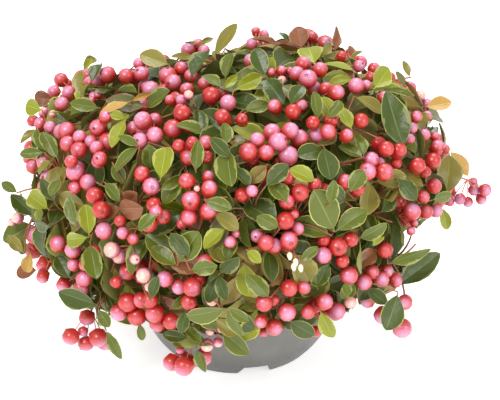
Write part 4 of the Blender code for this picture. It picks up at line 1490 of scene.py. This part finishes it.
    def shown_leaves(self, root, outwards, x, y, width):
        """Leaves to try from a root to a place in the picture, each nearer to the camera."""
        to_camera = (CAMERA_PLACE - root).normalized()
        for attempt in range(SHOWN_TRIES):
            foot = root + to_camera * (SHOWN_STEP * attempt)
            face = (FACE_OUTWARDS * outwards + FACE_CAMERA * to_camera + FACE_UP * UP
                    + FACE_CHANCE * self.sideways(outwards)).normalized()
            form = self.rng.randrange(len(LEAF_FORMS))
            yield leaf_between(foot, on_plane(x, y, foot, face), face, form, width)

    def grow_shown(self):
        """The bunches and leaves that the picture shows, each on its own twig."""
        for x, y, count, kind in SHOWN_BUNCHES:
            heart = on_crown(x, y, SHOWN_BUNCH_INSET)
            self.place_bunch(heart, outwards_at(heart), count, kind, shown=True)
        for kind, *spots in PINNED_BUNCHES:
            starts = [on_crown(x, y, PINNED_INSET) for x, y, _ in spots]
            berries = [(start, PINNED_FULLNESS * pixels * in_picture(start)[2] / PIXELS_PER_SLOPE)
                       for start, (_, _, pixels) in zip(starts, spots)]
            heart = sum(starts, Vector()) / len(starts)
            hub = hub_under(heart, outwards_at(heart), PINNED_HUB)
            self.pin_berries(BUNCH_MIXES[kind], hub, outwards_at(heart), berries)
            self.fork(hub, PEDUNCLE_GIRTH, self.stalks)
        for x, y, tip_x, tip_y, kind, width, *front in SHOWN_LEAVES:
            root = on_crown(x, y, SHOWN_LEAF_INSET)
            if front:
                root = on_plane(x, y, Vector((0.0, front[0], 0.0)), Vector((0.0, 1.0, 0.0)))
            outwards = outwards_at(root)
            best = self.best_leaf(self.shown_leaves(root, outwards, tip_x, tip_y, width),
                                  PLACED_OVERHANG, shown=True)
            if best is None or best[-1] > SHOWN_CUTS:
                continue
            self.keep_leaf(kind, best, shown=True)
            foot = best[0][0]
            _, way = along_line(self.fork(foot, TWIGLET_GIRTH, self.twigs), 1.0)
            self.whorl(foot, way, outwards, kind, 2, SHOWN_LEANS, SHOWN_OVERHANG[1])

    def grow_bunches(self):
        """Bunches all over the crown, but for the side that shows, and redder ones deeper."""
        for direction in even_directions(BUNCH_COUNT):
            inset = BUNCH_INSET * self.rng.uniform(*BUNCH_INSET_SHARES)
            heart = under_crown(direction, inset)
            if in_bowl(heart, BUNCH_BOWL_SPARE):
                continue
            if direction.dot(CAMERA_PLACE - heart) > 0 and not hidden(heart):
                continue
            rule = self.berry_rule
            self.place_bunch(heart, direction, self.rng.randint(rule.fewest, rule.most))
        # The deeper bunches are all scarlet, with little of the paler pole: painted shade inside
        # the crown.
        for direction in even_directions(DEEP_BUNCH_COUNT):
            heart = under_crown(direction, self.rng.uniform(*DEEP_BUNCH_INSET))
            if not in_bowl(heart, BUNCH_BOWL_SPARE):
                count = self.rng.randint(*DEEP_BUNCH_BERRIES)
                self.place_bunch(heart, direction, count, "scarlet")

    def far_leaf(self, tip, axis, x, y, width):
        """A leaf that ends at a far tip, with its foot where the picture shows it if it does."""
        if x is None:
            foot = tip - axis * self.leaf_rule.longest
            face = axis.cross(UP).cross(axis).normalized()
        else:
            to_camera = (CAMERA_PLACE - tip).normalized()
            face = (FACE_OUTWARDS * axis + FACE_CAMERA * to_camera + FACE_UP * UP).normalized()
            foot = on_plane(x, y, tip, face)
        return leaf_between(foot, tip, face, PLAIN_FORM, width)

    def grow_far_tips(self):
        """The sprigs that stand out of the crown, as far as the source's solids reach."""
        looks, bunches = iter(FAR_LEAVES), iter(FAR_BERRIES)
        for x, y, z, what in FAR_TIPS:
            tip = Vector((x, y, z))
            axis = (tip - self.middles[self.nearest_mass(tip)]).normalized()
            if what == "leaf":
                x, y, kind, width = next(looks)
                spots = [tip - axis * (pull * BOX_SPARE) for pull in range(1, FAR_PULLS)]
                tries = (self.try_leaf(self.far_leaf(spot, axis, x, y, width), 1.0)
                         for spot in spots)
                tried = next(filter(None, tries), None)
                if not tried:
                    raise RuntimeError(f"no room for the far leaf at {tuple(tip)}")
                self.keep_leaf(kind, tried, shown=True)
                foot = tried[0][0]
                _, way = along_line(self.add_sprig(foot + axis * 0.001), 1.0)
                self.whorl(foot, way, axis, kind, 3, FAR_LEAF_LEANS, FAR_OVERHANG, FAR_SCALE)
                continue
            hub = hub_under(tip, axis, FAR_HUB)
            self.pin_berries(("blushed",), hub, axis, [
                (on_plane(x, y, tip - axis * radius, sight(x, y)), radius)
                for x, y, radius in next(bunches)])
            line = self.add_sprig(hub)
            for share in FAR_SHARES:
                place, way = along_line(line, share)
                self.whorl(place, way, axis, "mid", 2, FAR_BUNCH_LEANS, FAR_OVERHANG, FAR_SCALE)

    def grow_bells(self):
        """The few late flowers, which hang from short stalks."""
        shown_inset, wild_inset = BELL_INSETS
        mouths = [on_crown(x, y, shown_inset) for x, y in SHOWN_BELLS]
        wild = [under_crown(direction, wild_inset) for direction in even_directions(BELL_COUNT)]
        mouths += [spot for spot in wild if not in_bowl(spot, BUNCH_BOWL_SPARE) and hidden(spot)]
        size = self.berry_rule.bell_length
        for mouth in mouths:
            outwards = outwards_at(mouth)
            hang = (BELL_OUTWARDS * outwards - UP).normalized()
            neck = mouth - hang * size
            self.bells.append((neck, UP.rotation_difference(hang), (size,) * 3, 0))
            hub = hub_under(neck, outwards, BELL_HUB)
            self.fork(hub, PEDUNCLE_GIRTH, self.stalks)
            self.add_stalk(hub, neck, *BELL_STALK)


@functools.lru_cache(maxsize=None)
def growth():
    """The whole plant's growth, worked out once for all its pieces."""
    return Growth().grow()


def finished(bm, name):
    """A mesh from what was modelled, with its faces turned outwards."""
    bmesh.ops.recalc_face_normals(bm, faces=bm.faces)
    mesh = bpy.data.meshes.new(name)
    bm.to_mesh(mesh)
    bm.free()
    return mesh


def turned_mesh(name, outline, sides, bands=None, x=0.0, y=0.0):
    """A closed solid of revolution about an upright axis, with a band for each ring of faces."""
    bm = bmesh.new()
    band = bm.faces.layers.int.new("band")
    rings = []
    for radius, z in outline:
        spots = [(x + radius * math.cos(FULL_TURN * k / sides),
                  y + radius * math.sin(FULL_TURN * k / sides), z) for k in range(sides)]
        if radius < ON_AXIS:
            rings.append([bm.verts.new((x, y, z))] * sides)
        else:
            rings.append([bm.verts.new(spot) for spot in spots])
    for row, (lower, upper) in enumerate(zip(rings, rings[1:])):
        for k in range(sides):
            n = (k + 1) % sides
            face = bm.faces.new(list(dict.fromkeys((lower[k], lower[n], upper[n], upper[k]))))
            face[band] = bands[row] if bands else 0
            face.smooth = True
    return finished(bm, name)


def leaf_mesh(name, form):
    """A closed leaf in bands of margin, blade, midrib and back.

    Upper side and back are cut into triangles along the same diagonals, so that neither
    shows through the other.
    """
    bm = bmesh.new()
    band = bm.faces.layers.int.new("band")
    rows = []
    least, more = LEAF_THICKNESS
    for u, v in LEAF_STATIONS:
        row = [leaf_point(form, u, v, side) for side in LEAF_COLUMNS]
        row.append(leaf_point(form, u, v, 0.0, drop=least + more * v))
        rows.append([bm.verts.new(p) for p in row] if v else [bm.verts.new(row[-1])] * len(row))
    for near, far in zip(rows, rows[1:]):
        for value, outer, inner in LEAF_STRIPS:
            corners = (near[outer], far[outer], far[inner], near[inner])
            for trio in (corners[:3], (corners[0], *corners[2:])):
                if len(set(trio)) == 3:
                    face = bm.faces.new(trio)
                    face[band] = value
                    face.smooth = True
        for k in (0, 5):
            bm.edges.get((near[k], far[k])).smooth = False
    bm.faces.new(rows[0])[band] = 2
    return finished(bm, name)


def berry_rings(shades, first, spread):
    """The name of each ring's colour on a form of berry, and the turns at the rings' edges."""
    last = len(SHADE_TURNS_DEG) - 1
    names = [shades[min(first + k, len(shades) - 1)] for k in range(last)]
    turns = [turn * spread if 0 < k < last - 1 else turn for k, turn in enumerate(SHADE_TURNS_DEG)]
    return names, turns


def berry_mesh(name, form, order):
    """A berry of radius one with a ring of faces for each band of its colours."""
    names, turns = berry_rings(*form)
    outline = [(math.sin(math.radians(turn)), math.cos(math.radians(turn))) for turn in turns]
    return turned_mesh(name, outline, BERRY_SIDES, [order.index(name) for name in names])


def star_mesh(name):
    """The dried tip of a flower on a berry: five short lobes round a pit, closed below."""
    bm = bmesh.new()
    top, foot = bm.verts.new((0, 0, 0.05)), bm.verts.new((0, 0, -0.5))
    rim = []
    for k in range(2 * DRIED_TIP_LOBES):
        turn = math.pi * k / DRIED_TIP_LOBES
        radius, z = ((1.0, 0.22), (0.5, 0.12))[k % 2]
        rim.append(bm.verts.new((radius * math.cos(turn), radius * math.sin(turn), z)))
    for k, corner in enumerate(rim):
        after = rim[(k + 1) % len(rim)]
        bm.faces.new((corner, after, top))
        bm.faces.new((after, corner, foot))
    return finished(bm, name)


def marked_mesh(name, points, edges, **marks):
    """Bare points and edges, with named values on the points: a kind and the numbers."""
    mesh = bpy.data.meshes.new(name)
    mesh.from_pydata([tuple(point) for point in points], edges, [])
    for label, (kind, values) in marks.items():
        layer = mesh.attributes.new(label, kind, "POINT")
        layer.data.foreach_set("vector" if kind == "FLOAT_VECTOR" else "value", values)
    return mesh


def scattered(name, spots, meshes, materials):
    """One joined piece of foliage with a form at every spot: (place, turn, stretch, form)."""
    forms = bpy.data.collections.new("forms")
    for index, mesh in enumerate(meshes):
        forms.objects.link(bpy.data.objects.new(f"form_{index:02d}", mesh))
    places, turns, stretches, picks = zip(*spots)
    mesh = marked_mesh(name, places, [], turn=("QUATERNION", [c for turn in turns for c in turn]),
                       stretch=("FLOAT_VECTOR", [c for stretch in stretches for c in stretch]),
                       form=("INT", picks))
    piece = grown(new_object(name, mesh), scatter_tree(len(materials)), materials,
                  {"Forms": forms})
    for obj in list(forms.objects):
        mesh = obj.data
        bpy.data.objects.remove(obj, do_unlink=True)
        bpy.data.meshes.remove(mesh)
    bpy.data.collections.remove(forms)
    declare(piece, named_nodes("foliage_"))


def network(name, lines, sides, relief, material):
    """Tubes along lines of points, with a girth at each end of a line or at all its points."""
    places, edges, girths = [], [], []
    for line, *given in lines:
        last = len(line) - 1
        edges += [(len(places) + k, len(places) + k + 1) for k in range(last)]
        places += line
        if len(given) == 2:
            thick, thin = given
            given = [thick + (thin - thick) * k / last for k in range(last + 1)]
        girths += given
    mesh = marked_mesh(name, places, edges, girth=("FLOAT", girths))
    return grown(new_object(name, mesh), tube_tree(), [material],
                 {"Sides": sides, "Relief": relief})


def bowl_radius(z):
    """Outer radius of the bowl's wall at height z, as the source has it."""
    share = 1 - (1 - z / BOWL_HEIGHT) ** BELLY_POWER
    return FOOT_RADIUS + (RIM_RADIUS - LIP_OVERHANG - FOOT_RADIUS) * share


def bowl_wall(low, high, steps, inset):
    """The bowl's wall in section between two heights, as (radius, height)."""
    heights = [low + (high - low) * (k / steps) ** 1.5 for k in range(steps + 1)]
    return [(bowl_radius(z) - inset, z) for z in heights]


def rounded(corner, before, after, radius):
    """Points that round off a corner of a profile."""
    corner, before, after = Vector(corner), Vector(before), Vector(after)
    first = corner + (before - corner).normalized() * radius
    last = corner + (after - corner).normalized() * radius
    return [tuple(point) for point in curved(first, corner, last, 3)]


def bowl_profile(rounding):
    """The bowl's wall in section, from its underside up and back down inside."""
    floor = FOOT_RECESS + FLOOR
    outside = bowl_wall(rounding, BOWL_HEIGHT - LIP_HEIGHT, OUTSIDE_STEPS, 0.0)
    inside = bowl_wall(floor, BOWL_HEIGHT, INSIDE_STEPS, WALL)[::-1]
    foot_in = FOOT_RADIUS - FOOT_WIDTH
    hollow, ring_in, ring_out = (foot_in, FOOT_RECESS), (foot_in, 0.0), (FOOT_RADIUS, 0.0)
    lip, rim = (RIM_RADIUS, BOWL_HEIGHT - LIP_HEIGHT), (RIM_RADIUS, BOWL_HEIGHT)
    profile = [(0.0, FOOT_RECESS), (0.6 * foot_in, FOOT_RECESS)]
    for corner, before, after in ((hollow, profile[-1], ring_in), (ring_in, hollow, ring_out),
                                  (ring_out, ring_in, outside[1])):
        profile += rounded(corner, before, after, rounding)
    profile += outside[1:]
    for corner, before, after in ((lip, outside[-1], rim), (rim, lip, inside[0]),
                                  (inside[0], rim, inside[1])):
        profile += rounded(corner, before, after, rounding)
    return profile + inside[1:] + [(0.0, floor)]


def notch_cutter(turn):
    """A trapezoid that cuts a drainage notch through the foot ring."""
    foot, top = NOTCH_FOOT_WIDTH / 2, NOTCH_TOP_WIDTH / 2
    outline = ((-foot, -NOTCH_HEIGHT / 2), (foot, -NOTCH_HEIGHT / 2), (foot, 0.0),
               (top, NOTCH_HEIGHT), (-top, NOTCH_HEIGHT), (-foot, 0.0))
    bm = bmesh.new()
    ends = [[bm.verts.new((r, y, z)) for y, z in outline]
            for r in (FOOT_RADIUS - 3 * FOOT_WIDTH, FOOT_RADIUS + 2 * FOOT_WIDTH)]
    for end in ends:
        bm.faces.new(end)
    for k in range(len(outline)):
        n = (k + 1) % len(outline)
        bm.faces.new((ends[0][k], ends[0][n], ends[1][n], ends[1][k]))
    place = Matrix.Translation((PLANT_X, PLANT_Y, 0.0)) @ Matrix.Rotation(turn, 4, "Z")
    bmesh.ops.transform(bm, matrix=place, verts=bm.verts)
    return new_object("notch_cutter", finished(bm, "notch_cutter"))


def plastic(colour, worn):
    """Moulded grey plastic: a faint mottle, a scuffed belly, and painted shade that darkens it
    towards the foot.
    """
    finish = Finish("bowl_plastic", colour, 0.5)
    mottle = finish.noise(38.0, 4.0).over(0.35, 0.7)
    # Painted shade: the plastic is darkest below two millimetres and fades back to its own grey by
    # three centimetres up.
    painted_foot_shade = 1 - finish.height().over(0.002, 0.030)
    base = finish.blend(mottle * 0.5, colour, worn)
    scuffs = finish.noise(210.0, 2.0, (1.0, 1.0, 0.12)).over(0.5, 0.8)
    finish.set(Base_Color=finish.blend(painted_foot_shade * 0.9, base, paint((70, 68, 66))),
               Roughness=scuffs * 0.18 + 0.40)
    finish.bump(finish.noise(900.0, 2.0) * 0.5 + mottle * 0.5, 0.12, 0.0004)
    return finish.material


def potting_soil(colour):
    """Dark crumbly soil with paler flecks."""
    finish = Finish("potting_soil", colour, 0.95)
    clods = finish.noise(260.0, 5.0)
    flecks = finish.noise(700.0, 2.0).over(0.62, 0.72)
    base = finish.blend(clods, [0.45 * c for c in colour], colour)
    finish.set(Base_Color=finish.blend(flecks * 0.5, base, paint((120, 98, 72))))
    finish.bump(clods, 0.7, 0.0012)
    return finish.material


def bark(colour, dark):
    """Thin flaking bark, darker in its furrows."""
    finish = Finish("bark", colour, 0.8)
    ridges = finish.noise(520.0, 5.0).over(0.3, 0.68)
    base = finish.blend(ridges, dark, colour)
    patches = finish.noise(90.0, 2.0)
    finish.set(Base_Color=finish.blend(patches * 0.35, base, paint((150, 130, 104))),
               Roughness=0.9 - ridges * 0.2)
    finish.bump(ridges, 0.6, 0.0006)
    return finish.material


def leaf_finish(name, colour, back):
    """One band of a leaf: glossy above and duller below, with a fine leathery grain and a faint
    painted glow in its own colour.
    """
    # Painted glow: the band gives off light in its own colour, standing in for light that comes
    # through the leaf.
    glow = {"Emission_Color": colour, "Emission_Strength": LEAF_PAINTED_GLOW}
    if back:
        return Finish(name, colour, 0.55, **glow).material
    finish = Finish(name, colour, 0.34, Specular_IOR_Level=0.36, Coat_Weight=0.10,
                    Coat_Roughness=0.22, **glow)
    finish.bump(finish.noise(170.0, 3.0), 0.60, 0.0014)
    return finish.material


@functools.lru_cache(maxsize=None)
def berry_finish(shade):
    """Smooth, taut skin over soft flesh, in one of the berries' shades, the paler ones partly
    painted light and the deepest red painted shade, with a faint painted glow.
    """
    colour = paint(BERRY_PAINTS[shade])
    # Painted glow in the shade's own colour, standing in for light that comes through the flesh.
    return Finish(f"berry_{shade}", colour, 0.38, Coat_Weight=0.35, Coat_Roughness=0.12,
                  Subsurface_Weight=0.12, Subsurface_Radius=(0.004, 0.0015, 0.001),
                  Emission_Color=colour, Emission_Strength=BERRY_PAINTED_GLOW).material


class WINTERGREEN_OT_bowl(bpy.types.Operator):
    """Make the moulded bowl with its lip, foot ring and drainage notches"""

    bl_idname = "wintergreen.bowl"
    bl_label = "Bowl"

    def execute(self, context):
        chosen = settings("bowl")
        bowl = new_object("bowl_shell", turned_mesh(
            "bowl_shell", bowl_profile(chosen.lip_rounding), BOWL_SIDES, x=PLANT_X, y=PLANT_Y))
        for k in range(NOTCH_COUNT):
            cutter = notch_cutter(math.radians(NOTCH_FIRST_DEG + 360.0 * k / NOTCH_COUNT))
            cut = bowl.modifiers.new("notch", "BOOLEAN")
            cut.operation = "DIFFERENCE"
            cut.object = cutter
            applied(bowl)
            bpy.data.objects.remove(cutter, do_unlink=True)
        bowl.data.shade_smooth()
        bowl.data.set_sharp_from_angle(angle=math.radians(38))
        bowl.data.materials.clear()
        bowl.data.materials.append(plastic(chosen.grey, chosen.grey_worn))
        declare(bowl, ["bowl"])
        return {"FINISHED"}


class WINTERGREEN_OT_soil(bpy.types.Operator):
    """Make the soil that fills the bowl, with crumbs strewn over it"""

    bl_idname = "wintergreen.soil"
    bl_label = "Soil"

    def execute(self, context):
        chosen = settings("bowl")
        floor = FOOT_RECESS + FLOOR + SEAT_GAP
        top = SOIL_TOP - SOIL_CROWN
        profile = [(0.0, floor)] + bowl_wall(floor, top, SOIL_STEPS, WALL + 2 * SEAT_GAP)
        edge = profile[-1][0]
        for k in range(1, SOIL_RINGS):
            radius = edge * (1 - k / SOIL_RINGS)
            profile.append((radius, top + SOIL_CROWN * (1 - radius / edge) ** 0.5))
        mesh = turned_mesh("soil_fill", profile + [(0.0, SOIL_TOP)], SOIL_SIDES,
                           x=PLANT_X, y=PLANT_Y)
        rng = random.Random(SEED)
        for vert in mesh.vertices:
            if vert.co.z > top + SOIL_EDGE_SPARE:
                vert.co.z += rng.uniform(*SOIL_UNEVENNESS)
        soil = grown(new_object("soil_fill", mesh), crumb_tree(),
                     [potting_soil(chosen.soil_brown)],
                     {"Amount": chosen.crumbs_per_area, "Largest": chosen.crumb_size,
                      "Seed": SEED})
        declare(soil, ["soil"])
        return {"FINISHED"}


class WINTERGREEN_OT_wood(bpy.types.Operator):
    """Make the stem and the boughs, with the relief of their bark"""

    bl_idname = "wintergreen.wood"
    bl_label = "Stem and boughs"

    def execute(self, context):
        chosen = settings("wood")
        foot = SOIL_TOP + SEAT_GAP
        places, girths = [], []
        for k in range(STEM_STEPS + 1):
            rise = HEAD_RISE * k / STEM_STEPS
            lift = (foot + rise - head_centre().z) / HEAD_RADIUS
            if rise < FLARE_HEIGHT:
                girth = (NECK_RADIUS + (FLARE_RADIUS - NECK_RADIUS)
                         * (1 - rise / FLARE_HEIGHT) ** 2)
            else:
                girth = max(NECK_RADIUS, HEAD_RADIUS * math.sqrt(max(0.0, 1 - lift * lift)))
                girth = min(girth, HEAD_RADIUS * math.sqrt(max(0.03, 1 - max(0.0, lift) ** 2)))
            places.append(Vector((PLANT_X + STEM_LEAN_X * k / STEM_STEPS, PLANT_Y, foot + rise)))
            girths.append(girth)
        lines = [(places, *girths)]
        for path, middle in growth().limbs:
            line = path + [path[-1].lerp(middle, k / IN_MASS_STEPS)
                           for k in range(1, IN_MASS_STEPS + 1)]
            lines.append((line, BOUGH_ROOT_RADIUS, BOUGH_TIP_GIRTH))
        wood = network("wood", lines, WOOD_SIDES, chosen.relief,
                       bark(chosen.bark, chosen.bark_dark))
        declare(wood, ["stem"] + named_nodes("bough_"))
        return {"FINISHED"}


class WINTERGREEN_OT_twigs(bpy.types.Operator):
    """Make the twigs and the berries' stalks"""

    bl_idname = "wintergreen.twigs"
    bl_label = "Twigs and stalks"

    def execute(self, context):
        chosen, plan = settings("wood"), growth()
        for name, lines, colour, sides in (("twigs", plan.twigs, chosen.twig, 5),
                                           ("berry_stalks", plan.stalks, chosen.stalk, 4)):
            finish = Finish(name, colour, 0.55)
            finish.bump(finish.noise(800.0, 2.0), 0.4, 0.0004)
            piece = network(name, lines, sides, 0.0, finish.material)
            declare(piece, named_nodes("foliage_"))
        return {"FINISHED"}


class WINTERGREEN_OT_leaves(bpy.types.Operator):
    """Make the leaves, one joined piece for each colour of spray"""

    bl_idname = "wintergreen.leaves"
    bl_label = "Leaves"

    def execute(self, context):
        for kind, spots in growth().leaves.items():
            if not spots:
                continue
            scattered(f"leaves_{kind}", spots,
                      [leaf_mesh(f"leaf_{form}", form) for form in range(len(LEAF_FORMS))],
                      [leaf_finish(f"leaf_{kind}_{band}", paint(colour), band == "back")
                       for band, colour in zip(LEAF_BANDS, LEAF_PAINTS[kind])])
        return {"FINISHED"}


class WINTERGREEN_OT_berries(bpy.types.Operator):
    """Make the berries, one joined piece for each degree of ripeness, and their dried tips"""

    bl_idname = "wintergreen.berries"
    bl_label = "Berries"

    def execute(self, context):
        for kind, spots in growth().berries.items():
            if not spots:
                continue
            used = list(dict.fromkeys(shade for form in BERRY_FORMS[kind]
                                      for shade in berry_rings(*form)[0]))
            scattered(f"berries_{kind}", spots,
                      [berry_mesh(f"{kind}_berry", form, used) for form in BERRY_FORMS[kind]],
                      [berry_finish(shade) for shade in used])
        scattered("berry_tips", growth().stars, [star_mesh("dried_tip")],
                  [Finish("dried_tip", paint((120, 44, 44)), 0.7).material])
        return {"FINISHED"}


class WINTERGREEN_OT_bells(bpy.types.Operator):
    """Make the few late flowers that hang among the leaves"""

    bl_idname = "wintergreen.bells"
    bl_label = "Bells"

    def execute(self, context):
        scattered("bells", growth().bells, [turned_mesh("bell", BELL_OUTLINE, BELL_SIDES)],
                  [Finish("bell_petal", settings("berries").bell, 0.5).material])
        return {"FINISHED"}


class WINTERGREEN_OT_stage(bpy.types.Operator):
    """Set the floor, the lights and the camera"""

    bl_idname = "wintergreen.stage"
    bl_label = "Stage"

    def execute(self, context):
        chosen, scene = settings("stage"), context.scene
        half = 30.0
        mesh = bpy.data.meshes.new("floor")
        mesh.from_pydata([(-half, -half, 0), (half, -half, 0), (half, half, 0), (-half, half, 0)],
                         [], [(0, 1, 2, 3)])
        floor = new_object("floor", mesh)
        paper = Finish("floor_paper", chosen.floor, 0.9, Emission_Strength=chosen.glow,
                       Emission_Color=(1.0, 1.0, 1.0))
        mesh.materials.append(paper.material)
        for name, place, size, strength in (
                ("key", (-0.8, -1.2, 1.6), 0.8, chosen.key_power),
                ("fill", (1.3, -1.2, 0.8), 1.0, chosen.fill_power),
                ("top", (0.2, 0.6, 1.8), 0.9, chosen.top_power)):
            lamp = bpy.data.lights.new(name, "AREA")
            lamp.shape, lamp.size, lamp.energy = "DISK", size, strength
            light = new_object(name, lamp)
            light.location = place
            light.rotation_euler = (TARGET - Vector(place)).to_track_quat("-Z", "Y").to_euler()
        world = bpy.data.worlds.new("studio")
        world.use_nodes = True
        feed(world.node_tree, world.node_tree.nodes["Background"],
             {"Strength": chosen.sky, "Color": (1.0, 1.0, 1.0)})
        scene.world = world
        scene.view_settings.view_transform = "Standard"
        lens = bpy.data.cameras.new("camera")
        lens.lens, lens.sensor_width = LENS_MM, SENSOR_MM
        camera = new_object("camera", lens)
        camera.location, camera.rotation_euler = CAMERA_PLACE, CAMERA_TURN
        bpy.context.scene.camera = camera
        return {"FINISHED"}


OPERATORS = (
    WINTERGREEN_OT_stage,
    WINTERGREEN_OT_bowl,
    WINTERGREEN_OT_soil,
    WINTERGREEN_OT_wood,
    WINTERGREEN_OT_twigs,
    WINTERGREEN_OT_leaves,
    WINTERGREEN_OT_berries,
    WINTERGREEN_OT_bells,
)


class WINTERGREEN_PT_panel(bpy.types.Panel):
    """The plant's pieces and their settings"""

    bl_label = "Wintergreen"
    bl_idname = "WINTERGREEN_PT_panel"
    bl_space_type = "VIEW_3D"
    bl_region_type = "UI"
    bl_category = "Wintergreen"

    def draw(self, context):
        for operator in OPERATORS:
            self.layout.operator(operator.bl_idname)
        for name, group in SETTINGS.items():
            box = self.layout.box()
            box.label(text=group.__doc__)
            for key in group.__annotations__:
                box.prop(getattr(context.scene, name), key)


def register():
    for name, group in SETTINGS.items():
        bpy.utils.register_class(group)
        setattr(bpy.types.Scene, name, bpy.props.PointerProperty(type=group))
    for cls in (*OPERATORS, WINTERGREEN_PT_panel):
        bpy.utils.register_class(cls)


def unregister():
    for cls in reversed((*OPERATORS, WINTERGREEN_PT_panel)):
        bpy.utils.unregister_class(cls)
    for name, group in SETTINGS.items():
        delattr(bpy.types.Scene, name)
        bpy.utils.unregister_class(group)


def main():
    register()
    for operator in OPERATORS:
        group, name = operator.bl_idname.split(".")
        getattr(getattr(bpy.ops, group), name)()


if __name__ == "__main__":
    main()
